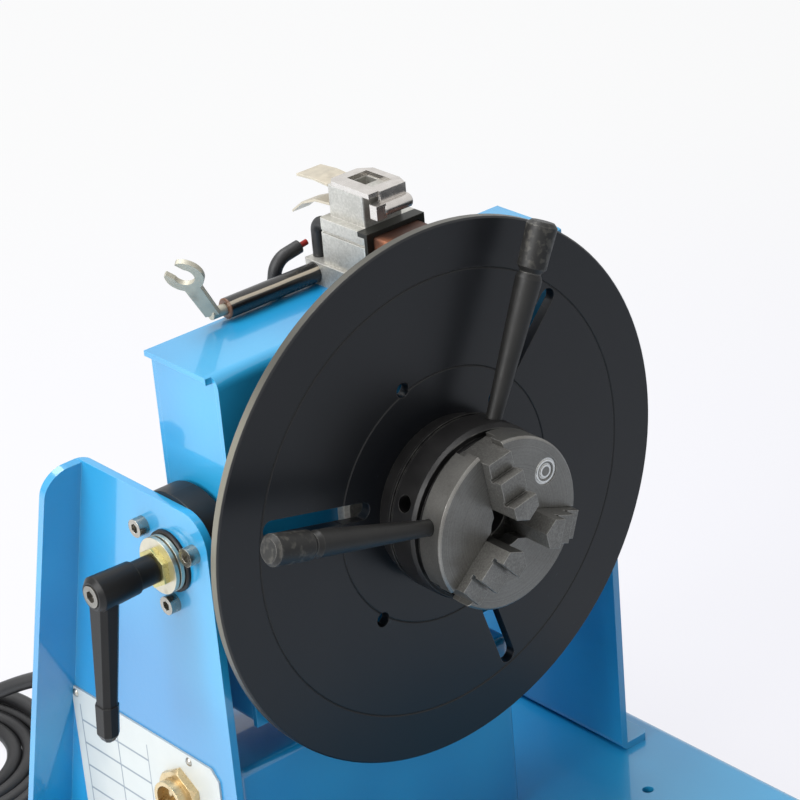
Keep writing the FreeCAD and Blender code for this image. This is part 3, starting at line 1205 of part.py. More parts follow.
def cable_gland():
    nut = hexagon(15.0, GLAND_AT, GLAND_AT + Y * 4)
    dome = cone(6.6, 5.2, GLAND_AT + Y * 4, GLAND_AT + Y * 6)
    neck = cyl(GLAND_R, GLAND_AT + Y, GLAND_AT - Y * (THIN_SHEET + 1))
    back_nut = hexagon(15.0, GLAND_AT - Y * THIN_SHEET, GLAND_AT - Y * (THIN_SHEET + 3))
    bore = cyl(CORD_R, GLAND_AT - Y * 10, GLAND_AT + Y * 8)
    return join([nut, dome, neck, back_nut]).cut(bore)


def strain_relief():
    """Tapered rubber boot with ring grooves."""
    start = GLAND_AT + Y * 6
    boot = cone(5.2, CORD_R + 1.0, start, start + Y * BOOT_LENGTH)
    grooves = [ring(8, CORD_R + 0.9, start + Y * (6 + 5 * n), start + Y * (7.6 + 5 * n)) for n in range(4)]
    bore = cyl(CORD_R, start - Y, start + Y * (BOOT_LENGTH + 1))
    return less(boot, grooves + [bore])


def cord_bend(before, corner, after):
    """Largest arc that the two runs allow: 0.45 of the shorter run."""
    into, out = corner - before, after - corner
    turn = math.acos(max(-1.0, min(1.0, into.normalize().dot(out.normalize()))))
    shorter = min((corner - before).Length, (after - corner).Length)
    radius = 0.45 * shorter / math.tan(turn / 2)
    print("cord arc radius %.1f" % radius)
    return radius


def cord_coil():
    """Outer shape of the coil: a flat spiral of turns with one more lying on its rim."""
    low, high = 2 * CORD_R + 0.3, 4 * CORD_R
    inner, outer = COIL_IN - CORD_R, COIL_OUT + CORD_R
    step = COIL_OUT - COIL_STEP - CORD_R
    soft = CORD_R * 0.6
    profile = [(inner, soft), (inner + soft, 0), (outer - soft, 0), (outer, soft), (outer, high - soft),
               (outer - soft, high), (step + soft, high), (step, high - soft), (step, low),
               (inner + soft, low), (inner, low - soft)]
    points = [COIL_AT + V(radius, 0, height) for radius, height in profile]
    return Part.Face(Part.makePolygon(points + [points[0]])).revolve(COIL_AT, Z, 360)


PLUG_LENGTH = 36.0
PLUG_HALF = (12.5, 9.0)


def plug_frame():
    """Where the plug starts and which way it points, level on the bench."""
    way = TAIL_POINTS[-1] - TAIL_POINTS[-2]
    way.z = 0
    return TAIL_POINTS[-1], way.normalize()


def mains_plug():
    """Moulded plug with a tapered tail and two round pins."""
    start, way = plug_frame()
    sections = []
    for at, half_w, half_h in ((0, 4.4, 4.4), (12, 6.0, 5.2), (18, PLUG_HALF[0], PLUG_HALF[1]),
                               (PLUG_LENGTH, PLUG_HALF[0], PLUG_HALF[1])):
        rise = max(0.0, half_h + 0.2 - start.z)
        centre = start + way * at + Z * rise
        wire = Part.Wire(Part.Ellipse(V(0, 0, 0), half_w, half_h).toShape())
        place = FreeCAD.Placement(centre, FreeCAD.Rotation(V(-way.y, way.x, 0), Z, way, "ZXY"))
        wire.Placement = place
        sections.append(wire)
    body = Part.makeLoft(sections, True, True)
    face = start + way * PLUG_LENGTH + Z * (PLUG_HALF[1] + 0.2 - start.z)
    side = V(-way.y, way.x, 0)
    pins = []
    for s in (-1, 1):
        root = face + side * (9.5 * s)
        pin = cyl(2.4, root - way * 2, root + way * 19)
        pins.append(bevel_rims(pin, 1.0, lambda e, tip=root + way * 19: e.CenterOfMass.sub(tip).Length < 1))
    return body, pins


# ---- build ---------------------------------------------------------------------------------------
def build_stand():
    save("base_tray", base_tray())
    save("rubber_feet", *rubber_feet())
    save("left_cheek", left_cheek())
    save("right_cheek", mirrored(plain_cheek()))
    save("cheek_bolts", *cheek_bolts())
    save("cheek_washers", *cheek_washers())
    save("nameplate", nameplate())
    save("nameplate_rivets", *nameplate_rivets())
    socket, nut = pedal_socket()
    save("pedal_socket", socket, nut)
    save("bushes", bush_left(), mirrored(bush_left()))
    save("bush_screws", *bush_screws())
    save("control_box", control_box())
    save("electronics", circuit_board(), power_supply())
    save("speed_control", speed_control())
    save("rocker_bezels", *rocker_bezels())
    save("speed_knob", speed_knob())
    save("power_rocker", rocker(ROCKER_X[0], -ROCKER_TILT))
    save("direction_rocker", rocker(ROCKER_X[1], 0))


def build_head():
    save("head_cover", head_cover())
    save("head_frame", head_frame())
    save("rear_cover", rear_cover())
    save("bearing_housing", bearing_housing())
    save("head_screws", *(housing_screws() + rear_cover_screws()))
    save("spindle_bearing", *spindle_bearing())
    save("gear_reducer", gear_reducer())
    save("drive_motor", drive_motor())
    save("trunnions", trunnion_left(), mirrored(trunnion_left()))
    washers, nut_x = clamp_washers()
    save("clamp_washers", *(washers + [mirrored(w) for w in washers]))
    save("clamp_nuts", clamp_nut(nut_x), mirrored(clamp_nut(nut_x)))
    lever, screw = clamp_lever(nut_x - CLAMP_NUT_THICK)
    save("clamp_lever", lever)
    save("lever_screw", screw)


def build_brush():
    save("brush_block", brush_block())
    save("brush_holder", brush_holder())
    save("brush_box", brush_box())
    save("contact_brush", contact_brush())
    save("clip_frame", clip_frame().fuse(clip_roll()))
    save("leaf_springs", upper_leaf(), lower_leaf())
    save("earth_cable", earth_cable())
    save("fork_lug", fork_lug())
    save("pigtail", pigtail())
    save("signal_lead", signal_lead())
    save("lead_core", lead_core())
    save("head_grommet", head_grommet())


def build_spindle():
    save("spindle", spindle())
    save("faceplate", faceplate())
    save("chuck_backplate", chuck_backplate())
    save("chuck_body", chuck_body())
    save("scroll_ring", scroll_ring())
    for number in range(3):
        save("jaw_%d" % (number + 1), jaw(number))
    bar_y = BODY_FRONT + BODY_THICK / 2 + 1.2
    save("body_bar", tommy_bar(BODY_BAR_ANGLE, bar_y, CHUCK_R, BAR_ENTRY + 1))
    save("ring_bar", tommy_bar(RING_BAR_ANGLE, sum(RING_SPAN) / 2, RING_R))


def build_cord():
    save("cable_gland", cable_gland())
    save("strain_relief", strain_relief())
    cord = tube(CORD_POINTS, CORD_R, cord_bend)
    tail = tube(TAIL_POINTS, CORD_R, cord_bend)
    for name, piece, points in (("cord", cord, CORD_POINTS), ("tail", tail, TAIL_POINTS)):
        print("%s volume over section %.1f mm" % (name, piece.Volume / (math.pi * CORD_R ** 2)))
    save("cord_lead", cord)
    save("cord_coil", cord_coil())
    save("cord_tail", tail)
    body, pins = mains_plug()
    save("mains_plug", join([body] + pins))


os.makedirs("parts", exist_ok=True)
build_stand()
build_head()
build_brush()
build_spindle()
build_cord()
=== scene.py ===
import json
import math

import bmesh
import bpy
from mathutils import Matrix, Vector


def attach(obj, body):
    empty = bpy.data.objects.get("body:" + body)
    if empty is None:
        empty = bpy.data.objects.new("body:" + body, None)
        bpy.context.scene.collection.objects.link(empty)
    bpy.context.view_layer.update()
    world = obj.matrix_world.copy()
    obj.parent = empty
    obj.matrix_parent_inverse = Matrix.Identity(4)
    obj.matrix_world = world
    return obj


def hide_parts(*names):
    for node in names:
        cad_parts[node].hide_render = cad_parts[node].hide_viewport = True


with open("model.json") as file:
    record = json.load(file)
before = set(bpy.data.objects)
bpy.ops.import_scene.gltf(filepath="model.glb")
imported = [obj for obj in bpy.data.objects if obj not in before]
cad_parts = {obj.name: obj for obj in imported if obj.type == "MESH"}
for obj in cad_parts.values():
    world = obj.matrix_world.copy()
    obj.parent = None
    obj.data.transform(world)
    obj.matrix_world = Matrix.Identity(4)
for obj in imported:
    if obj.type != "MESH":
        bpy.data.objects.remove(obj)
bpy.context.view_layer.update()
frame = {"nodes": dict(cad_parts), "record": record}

nodes = frame["nodes"]

# ---- places shared with the model, in metres -------------------------------------------
FACE_Y = -0.010
SPINDLE_Z = 0.175
PIVOT_Y = 0.026
SPINDLE_NOSE = (0.0, FACE_Y, SPINDLE_Z)
TILT_AXIS = (0.0, PIVOT_Y, SPINDLE_Z)
PLATE_R = 0.100
SCRIBED_RADII = (0.0820, 0.0470)    # the circles cut into the faceplate
GRIP_RADII = (0.082, 0.090)         # where a bar's knurled end begins
BADGE_AT = (0.0184, FACE_Y, SPINDLE_Z + 0.0130)
BADGE_RINGS = ((0.0042, 0.00045), (0.0023, 0.0004))
CABLE_AT = (0.0, PIVOT_Y + 0.0165, SPINDLE_Z + 0.0728)
BRUSH_AT = (0.0, PIVOT_Y - 0.018, SPINDLE_Z + 0.085)
DATA_PLATE_AT = (0.0, PIVOT_Y - 0.013, SPINDLE_Z - 0.148)   # its lower front corner
ROW_HEIGHT = 0.0098
COLUMNS = (0.0430, 0.0620, 0.0845)
CORD_R = 0.00325


def mm(x, y, z):
    return Vector((x, y, z)) / 1000


def add_object(name, data):
    piece = bpy.data.objects.new(name, data)
    bpy.context.scene.collection.objects.link(piece)
    return piece


# ---- camera ----------------------------------------------------------------------------
LENS = 135.0
SENSOR = 36.0
CAMERA_AT = (-587.2, -727.2, 660.4)
CAMERA_AIM = (-16.5, -10.0, 218.1)
CAMERA_ROLL = -5.06                 # degrees


def aim_camera():
    data = bpy.data.cameras.new("bench_camera")
    data.lens = LENS
    data.sensor_width = SENSOR
    data.clip_start = 0.05
    camera = add_object("bench_camera", data)
    place = mm(*CAMERA_AT)
    turn = (mm(*CAMERA_AIM) - place).to_track_quat("-Z", "Y").to_matrix().to_4x4()
    roll = Matrix.Rotation(math.radians(CAMERA_ROLL), 4, "Z")
    camera.matrix_world = Matrix.Translation(place) @ turn @ roll
    bpy.context.scene.camera = camera


aim_camera()

# ---- mains lead ------------------------------------------------------------------------
# Places in millimetres; a coil level is an angle in degrees, a radius and a height.
LEAD_ROUTE = [(-45, 144, 45), (-45, 169, 44.5), (-45.5, 192, 40), (-48, 212, 31), (-56, 231, 20),
              (-69, 246, 12), (-89, 256, 6)]
TAIL_ROUTE = [(-92, 164.9, 3.55), (-70, 165.5, 3.55), (-50, 170, 3.65), (-32, 174, 4.85)]
COIL_CENTRE = (-92, 226)
COIL_LEVELS = [(125, 32.0, 3.5), (1350, 54.5, 3.5), (1440, 51.6, 9.4), (1590, 51.6, 9.6),
               (1640, 54.0, 10.0), (1680, 59.2, 7.4), (1710, 61.1, 3.7)]
COIL_STEP = 24                      # degrees between two knots


def coil_route():
    """A flat spiral from the inside out, then one turn lying on its rim."""
    points = []
    for (angle, radius, height), (angle_2, radius_2, height_2) in zip(COIL_LEVELS, COIL_LEVELS[1:]):
        steps = max(2, round((angle_2 - angle) / COIL_STEP))
        whole_turn = angle_2 - angle > 300
        for step in range(steps):
            share = step / steps
            ease = share if whole_turn else share * share * (3 - 2 * share)
            at = math.radians(angle + (angle_2 - angle) * share)
            reach = radius + (radius_2 - radius) * ease
            points.append((COIL_CENTRE[0] + reach * math.cos(at),
                           COIL_CENTRE[1] + reach * math.sin(at),
                           height + (height_2 - height) * ease))
    return points


def mains_lead():
    curve = bpy.data.curves.new("mains_lead", "CURVE")
    curve.dimensions = "3D"
    curve.bevel_depth = 1.0         # each knot carries the cord's radius
    curve.bevel_resolution = 5
    curve.resolution_u = 8
    curve.use_fill_caps = True
    route = LEAD_ROUTE + coil_route() + TAIL_ROUTE
    spline = curve.splines.new("NURBS")
    spline.points.add(len(route) - 1)
    for knot, place in zip(spline.points, route):
        knot.co = (*mm(*place), 1)
        knot.radius = CORD_R
    spline.order_u = 3
    spline.use_endpoint_u = True
    cord = add_object("mains_lead", curve)
    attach(cord, "stand")
    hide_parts("cord_lead", "cord_coil", "cord_tail")
    return cord


cord = mains_lead()


# ---- how a finish is written ----------------------------------------------------------
class Wire:
    """What comes out of a node, ready for arithmetic: each step adds its Math node."""

    def __init__(self, finish, socket):
        self.finish = finish
        self.socket = socket

    def __add__(self, other):
        return self.finish.math("ADD", self, other)

    def __sub__(self, other):
        return self.finish.math("SUBTRACT", self, other)

    def __rsub__(self, other):
        return self.finish.math("SUBTRACT", other, self)

    def __mul__(self, other):
        return self.finish.math("MULTIPLY", self, other)

    def __truediv__(self, other):
        return self.finish.math("DIVIDE", self, other)

    def __rtruediv__(self, other):
        return self.finish.math("DIVIDE", other, self)

    __radd__ = __add__
    __rmul__ = __mul__


class Finish:
    """One finish: a material, its shader, and the one way that its nodes are added."""

    def __init__(self, name):
        self.material = bpy.data.materials.new(name)
        self.material.use_nodes = True
        self.tree = self.material.node_tree
        self.shader = self.tree.nodes["Principled BSDF"]

    def feed(self, socket, value):
        if isinstance(value, Wire):
            self.tree.links.new(value.socket, socket)
        elif isinstance(value, tuple) and socket.type == "RGBA" and len(value) == 3:
            socket.default_value = (*value, 1.0)
        else:
            socket.default_value = value

    def node(self, kind, settings, values, out=0):
        """Adds a node: its settings first, then what each of its sockets takes."""
        node = self.tree.nodes.new("ShaderNode" + kind)
        for key, value in settings.items():
            setattr(node, key, value)
        for key, value in values.items():
            self.feed(node.inputs[key], value)
        return Wire(self, node.outputs[out])

    def math(self, operation, *values):
        return self.node("Math", {"operation": operation}, dict(enumerate(values)))

    # places on the piece
    def place(self, centre=(0.0, 0.0, 0.0), stretch=(1.0, 1.0, 1.0), turn=(0.0, 0.0, 0.0)):
        spot = self.node("TexCoord", {}, {}, 3)
        moved = self.node("VectorMath", {"operation": "SUBTRACT"}, {0: spot, 1: centre})
        return self.node("Mapping", {}, {0: moved, "Rotation": turn, "Scale": stretch})

    def axis(self, place, which):
        return self.node("SeparateXYZ", {}, {0: place}, which)

    def length_across(self, centre, keep):
        """Distance from a line through the centre; keep masks out the line's own axis."""
        flat = self.node("VectorMath", {"operation": "MULTIPLY"}, {0: self.place(centre), 1: keep})
        return self.node("VectorMath", {"operation": "LENGTH"}, {0: flat}, 1)

    # patterns
    def noise(self, place, scale, detail=2.0, roughness=0.5):
        return self.node("TexNoise", {}, {"Vector": place, "Scale": scale, "Detail": detail,
                                          "Roughness": roughness})

    def noise_along(self, value, scale, detail=2.0):
        return self.node("TexNoise", {"noise_dimensions": "1D"},
                         {"W": value, "Scale": scale, "Detail": detail})

    def rise(self, value, low, high):
        """Eases from nothing at low to one at high."""
        return self.node("MapRange", {"interpolation_type": "SMOOTHSTEP"},
                         {0: value, 1: low, 2: high})

    def band(self, value, middle, half, soft):
        """One on a line of a given half width, and nothing away from it."""
        return 1 - self.rise(self.math("ABSOLUTE", value - middle), half, half + soft)

    def blend(self, share, colour, other):
        return self.node("Mix", {"data_type": "RGBA"}, {0: share, 6: colour, 7: other}, 2)

    def arris(self, width):
        """One along the edges of the piece, and nothing on its flats."""
        eased = self.node("Bevel", {"samples": 4}, {"Radius": width})
        true = self.node("NewGeometry", {}, {}, 1)
        agree = self.node("VectorMath", {"operation": "DOT_PRODUCT"}, {0: eased, 1: true}, 1)
        return self.rise(1 - agree, 0.02, 0.25)

    def close(self, colour, roughness, metallic=0.0, height=None, depth=0.0001, ease=0.0004,
              coat=0.0, coat_roughness=0.05, coat_index=1.5, specular=0.5):
        """Joins the finished patterns to the shader, with its edges eased and its skin raised."""
        self.feed(self.shader.inputs["Base Color"], colour)
        self.feed(self.shader.inputs["Roughness"], roughness)
        self.feed(self.shader.inputs["Metallic"], metallic)
        self.feed(self.shader.inputs["Coat Weight"], coat)
        self.shader.inputs["Coat Roughness"].default_value = coat_roughness
        self.shader.inputs["Coat IOR"].default_value = coat_index
        self.shader.inputs["Specular IOR Level"].default_value = specular
        eased = self.node("Bevel", {"samples": 4}, {"Radius": ease})
        if height is not None:
            eased = self.node("Bump", {}, {"Strength": 1.0, "Distance": depth, "Height": height,
                                           "Normal": eased})
        self.feed(self.shader.inputs["Normal"], eased)
        return self.material


# ---- finishes --------------------------------------------------------------------------
def blue_enamel(name):
    """Gloss stove enamel: faint orange peel, thin and paler along the edges."""
    f = Finish(name)
    spot = f.place()
    cloud = f.noise(spot, 9.0, 2.0)
    peel = f.noise(spot, 420.0, 1.5)
    dust = f.rise(f.noise(spot, 900.0, 3.0), 0.68, 0.84)
    edge = f.arris(0.0007)
    colour = f.blend(f.rise(cloud, 0.3, 0.7), (0.004, 0.190, 0.430), (0.018, 0.315, 0.580))
    colour = f.blend(edge * 0.40, colour, (0.12, 0.52, 0.82))
    return f.close(colour, 0.30 + 0.10 * cloud + 0.10 * dust, height=peel, depth=0.00003,
                   coat=0.80 - 0.3 * dust, coat_roughness=0.06, coat_index=1.6)


def black_faceplate(name):
    """Blackened steel: turned rings, faint handling marks, and a bare band at the rim, brightened
    by a painted highlight over its middle height, less near the top and not at all low down.
    """
    f = Finish(name)
    radius = f.length_across(SPINDLE_NOSE, (1.0, 0.0, 1.0))
    spot = f.place()
    height, behind = f.axis(spot, 2), f.axis(spot, 1)
    turned = f.noise_along(radius, 2600.0, 3.0)
    broad = f.noise(spot, 13.0, 3.0)
    wipes = f.noise(f.place(SPINDLE_NOSE, (60.0, 60.0, 14.0), (0.0, 0.6, 0.0)), 1.0, 4.0)
    specks = f.rise(f.noise(spot, 420.0, 2.0), 0.74, 0.80)
    scribed = sum(f.band(radius, middle, 0.0003, 0.0004) for middle in SCRIBED_RADII)
    rim = f.rise(radius, PLATE_R - 0.0007, PLATE_R - 0.0002)
    rim = rim * f.rise(behind, FACE_Y + 0.0004, FACE_Y + 0.0009)
    # painted highlight: the bare rim band is made brighter over its middle height, less near the
    # top and not at all low down
    painted_rim_highlight = f.rise(height, SPINDLE_Z - 0.045, SPINDLE_Z + 0.015)
    painted_rim_highlight = painted_rim_highlight * (1 - 0.85 * f.rise(height, SPINDLE_Z + 0.050, SPINDLE_Z + 0.078))
    edge = f.arris(0.0006)
    colour = f.blend(broad, (0.0036, 0.0042, 0.0056), (0.0072, 0.0080, 0.0102))
    colour = f.blend(specks * 0.5, colour, (0.035, 0.038, 0.046))
    colour = f.blend(scribed * 0.8, colour, (0.0020, 0.0022, 0.0030))
    colour = f.blend(edge * 0.35, colour, (0.06, 0.057, 0.052))
    # bare rim band everywhere, made paler still where the painted highlight lies
    colour = f.blend(rim * (0.16 + 0.55 * painted_rim_highlight), colour, (0.27, 0.255, 0.205))
    rough = 0.24 + 0.08 * turned + 0.12 * wipes + 0.2 * scribed
    return f.close(colour, rough, metallic=0.3 * rim, height=turned, depth=0.000006, specular=0.38)


def black_oxide(name):
    """Oil-blackened steel with its edges rubbed to grey."""
    f = Finish(name)
    spot = f.place(SPINDLE_NOSE)
    mottle = f.noise(spot, 130.0, 4.0)
    rubbed = f.arris(0.0006) * f.rise(f.noise(spot, 240.0, 3.0), 0.35, 0.62)
    colour = f.blend(mottle, (0.0040, 0.0038, 0.0040), (0.0115, 0.0108, 0.0108))
    colour = f.blend(rubbed * 0.5, colour, (0.17, 0.165, 0.150))
    return f.close(colour, 0.30 + 0.22 * mottle, metallic=0.5 * rubbed, height=mottle,
                   depth=0.00003, specular=0.30)


def handled_bar(name, centre):
    """Black handle bar, worn grey where it is held and along its edges."""
    f = Finish(name)
    spot = f.place(centre)
    mottle = f.noise(spot, 90.0, 4.0)
    hand = f.rise(f.noise(spot, 420.0, 5.0), 0.48, 0.66)
    grip = f.rise(f.length_across(SPINDLE_NOSE, (1.0, 0.0, 1.0)), *GRIP_RADII)
    rubbed = f.arris(0.0009)
    colour = f.blend(mottle, (0.0060, 0.0058, 0.0058), (0.0190, 0.0185, 0.0172))
    colour = f.blend(grip * hand * 0.50, colour, (0.085, 0.080, 0.068))
    colour = f.blend(rubbed * 0.65, colour, (0.26, 0.25, 0.23))
    return f.close(colour, 0.38 + 0.2 * mottle - 0.06 * hand, metallic=0.10 + 0.5 * rubbed,
                   height=mottle, depth=0.00005, specular=0.35)


def ground_steel(name, rings=0.35, tone=1.0):
    """Ground chuck steel: fine grain, patchy tarnish, bright arrises and badge rings."""
    f = Finish(name)
    radius = f.length_across(SPINDLE_NOSE, (1.0, 0.0, 1.0))
    spot = f.place(SPINDLE_NOSE)
    grain = f.noise_along(radius, 2600.0, 4.0)
    depth_grain = f.noise_along(f.axis(spot, 1), 3600.0, 3.0)
    skin = f.noise(spot, 1500.0, 3.0, 0.5)
    cloud = f.noise(spot, 38.0, 4.0)
    tarnish = f.rise(f.noise(spot, 110.0, 5.0), 0.52, 0.80)
    edge = f.arris(0.0005)
    badge = f.length_across(BADGE_AT, (1.0, 0.0, 1.0))
    ring = sum(f.band(badge, middle, half, 0.0003) for middle, half in BADGE_RINGS)
    front = 1 - f.rise(f.axis(spot, 1), -0.0322, -0.0318)
    ring = f.math("MINIMUM", ring * front, 1.0)
    dark = tuple(tone * share for share in (0.130, 0.126, 0.117))
    pale = tuple(tone * share for share in (0.225, 0.220, 0.206))
    mixed = rings * grain + (0.6 - rings) * skin + 0.4 * cloud
    colour = f.blend(f.rise(mixed, 0.30, 0.70), dark, pale)
    colour = f.blend(tarnish * 0.30, colour, (0.090, 0.076, 0.060))
    colour = f.blend(edge * 0.38, colour, (0.52, 0.51, 0.48))
    colour = f.blend(ring * 0.85, colour, (0.82, 0.82, 0.80))
    rough = 0.28 + 0.08 * depth_grain + 0.10 * cloud - 0.12 * ring
    return f.close(colour, rough, metallic=0.84, height=rings * grain + 0.2 * skin,
                   depth=0.000008, ease=0.0003)


def plated(name, dark, pale, roughness=0.26, metallic=0.92):
    """Plated hardware: bright film, cloudy patches and a little grime in scattered stains."""
    f = Finish(name)
    spot = f.place()
    cloud = f.noise(spot, 300.0, 3.0)
    stain = f.rise(f.noise(spot, 135.0, 4.0), 0.55, 0.80)
    edge = f.arris(0.0003)
    colour = f.blend(cloud, dark, pale)
    colour = f.blend(stain * 0.35, colour, (0.10, 0.085, 0.07))
    colour = f.blend(edge * 0.4, colour, tuple(min(1.0, c * 1.5) for c in pale))
    return f.close(colour, roughness + 0.16 * cloud + 0.12 * stain, metallic=metallic,
                   height=cloud, depth=0.00001, ease=0.0002)


def turned_steel(name, centre, along):
    """Bright turned steel with fine tool rings across its own axis."""
    f = Finish(name)
    spot = f.place(centre)
    rings = f.noise_along(f.axis(spot, along), 5200.0, 3.0)
    cloud = f.noise(spot, 110.0, 3.0)
    colour = f.blend(rings, (0.36, 0.36, 0.35), (0.58, 0.58, 0.57))
    return f.close(colour, 0.24 + 0.14 * rings + 0.08 * cloud, metallic=0.92, height=rings,
                   depth=0.00001)


def sand_cast(name):
    """Cast alloy: fine sandy skin, brighter on its arrises."""
    f = Finish(name)
    spot = f.place()
    skin = f.noise(spot, 1100.0, 3.0, 0.65)
    cloud = f.noise(spot, 60.0, 3.0)
    edge = f.arris(0.0006)
    mixed = f.rise(0.6 * skin + 0.4 * cloud, 0.35, 0.68)
    colour = f.blend(mixed, (0.40, 0.39, 0.36), (0.58, 0.57, 0.53))
    colour = f.blend(edge * 0.5, colour, (0.74, 0.73, 0.70))
    return f.close(colour, 0.36 + 0.14 * skin, metallic=0.72, height=skin, depth=0.00004)


def moulded(name, dark=(0.0042, 0.0042, 0.0045), pale=(0.0085, 0.0085, 0.0088),
            roughness=0.30, grit=1400.0, painted_edge_highlight=(0.050, 0.050, 0.050)):
    """Moulded plastic: fine spark-eroded grain, smoother along its edges, where a painted highlight
    lightens the colour.
    """
    f = Finish(name)
    spot = f.place()
    grain = f.noise(spot, grit, 2.0)
    cloud = f.noise(spot, 40.0, 2.0)
    edge = f.arris(0.0006)
    colour = f.blend(cloud, dark, pale)
    # painted highlight: the edges are lightened toward the highlight colour
    colour = f.blend(edge * 0.6, colour, painted_edge_highlight)
    return f.close(colour, roughness + 0.10 * cloud - 0.10 * edge, height=grain,
                   depth=0.00003, specular=0.24)


def rubber(name, roughness=0.52):
    """Black rubber with a dusty bloom."""
    f = Finish(name)
    spot = f.place()
    bloom = f.noise(spot, 75.0, 4.0)
    grain = f.noise(spot, 1100.0, 2.0)
    colour = f.blend(f.rise(bloom, 0.35, 0.75), (0.008, 0.008, 0.009), (0.019, 0.019, 0.020))
    return f.close(colour, roughness + 0.16 * bloom, height=grain, depth=0.00005)


def gloss_cable(name):
    """Thick earthing cable: glossy jacket with a pale painted highlight strip along its upper
    front.
    """
    f = Finish(name)
    spot = f.place(CABLE_AT)
    lie = f.math("ARCTAN2", f.axis(spot, 2), f.axis(spot, 1))
    wander = f.noise(spot, 60.0, 2.0)
    # painted highlight: a pale strip along the jacket's upper front, broken up by noise
    painted_highlight_strip = f.band(lie + 0.25 * wander, 2.50, 0.11, 0.10)
    painted_highlight_strip = painted_highlight_strip * f.rise(f.noise(spot, 160.0, 3.0), 0.22, 0.42)
    core = 1 - f.rise(f.axis(spot, 0), -0.0470, -0.0464)
    cloud = f.noise(spot, 120.0, 3.0)
    colour = f.blend(cloud, (0.004, 0.004, 0.004), (0.011, 0.010, 0.009))
    colour = f.blend(painted_highlight_strip * 0.8, colour, (0.52, 0.44, 0.33))
    colour = f.blend(core * 0.75, colour, (0.20, 0.085, 0.040))
    return f.close(colour, 0.22 + 0.12 * cloud + 0.2 * painted_highlight_strip, height=cloud, depth=0.0001,
                   coat=0.35 - 0.3 * core)


def data_plate(name):
    """White enamelled plate with an empty ruled table in thin grey lines."""
    f = Finish(name)
    spot = f.place(DATA_PLATE_AT)
    across, up = f.axis(spot, 1), f.axis(spot, 2)
    rows = f.math("ABSOLUTE", f.math("FRACT", (up + 0.0042) / ROW_HEIGHT) - 0.5)
    lines = f.rise(rows, 0.445, 0.470)
    inside = f.rise(across, 0.0426, 0.0430) * (1 - f.rise(across, 0.0846, 0.0850))
    inside = inside * f.rise(up, 0.0052, 0.0056) * (1 - f.rise(up, 0.0612, 0.0616))
    columns = sum(f.band(across, middle, 0.00025, 0.00015) for middle in COLUMNS)
    ruled = f.math("MINIMUM", lines + columns, 1.0) * inside
    dust = f.noise(spot, 90.0, 4.0)
    edge = f.arris(0.0003)
    colour = f.blend(dust, (0.47, 0.50, 0.49), (0.55, 0.57, 0.55))
    colour = f.blend(ruled * 0.85, colour, (0.16, 0.20, 0.24))
    colour = f.blend(edge * 0.5, colour, (0.50, 0.50, 0.50))
    return f.close(colour, 0.30 + 0.12 * dust, metallic=0.10, height=dust, depth=0.00002,
                   ease=0.0002, coat=0.25)


def carbon_brush(name):
    """Copper-graphite brush: dark red-brown, with bare copper and a painted highlight on its left
    side near the front.
    """
    f = Finish(name)
    spot = f.place(BRUSH_AT)
    speck = f.noise(spot, 1200.0, 4.0)
    side = 1 - f.rise(f.axis(spot, 0), -0.0029, 0.0020)
    front = 1 - f.rise(f.axis(spot, 1), -0.006, 0.010)
    # painted highlight over bare copper: the left side near the front is made bright and more
    # metallic
    bright = side * front * f.rise(f.noise(spot, 160.0, 3.0), 0.25, 0.60)
    colour = f.blend(speck, (0.030, 0.013, 0.009), (0.085, 0.035, 0.022))
    colour = f.blend(bright * 0.8, colour, (0.62, 0.24, 0.12))
    return f.close(colour, 0.42 + 0.16 * speck, metallic=0.30 + 0.5 * bright, height=speck,
                   depth=0.00004)


def circuit(name):
    """Green board with solder-bright specks."""
    f = Finish(name)
    spot = f.place()
    mottle = f.noise(spot, 160.0, 2.0)
    pads = f.rise(f.noise(spot, 700.0, 1.0), 0.62, 0.68)
    low = 1 - f.rise(f.axis(spot, 2), 0.031, 0.0315)
    colour = f.blend(mottle, (0.010, 0.075, 0.030), (0.018, 0.12, 0.05))
    colour = f.blend(pads * low, colour, (0.55, 0.55, 0.52))
    colour = f.blend((1 - low) * 0.9, colour, (0.22, 0.22, 0.22))
    return f.close(colour, 0.40 + 0.2 * mottle, metallic=0.5 * pads, height=mottle,
                   depth=0.00002)


def ribbed_cord(name):
    """Round mains sheath: matt black with a cloudy tone and a fine grain."""
    f = Finish(name)
    spot = f.place()
    cloud = f.noise(spot, 45.0, 3.0)
    grain = f.noise(spot, 1500.0, 2.0)
    colour = f.blend(cloud, (0.006, 0.006, 0.007), (0.015, 0.015, 0.016))
    return f.close(colour, 0.40 + 0.15 * cloud, height=grain, depth=0.00005)


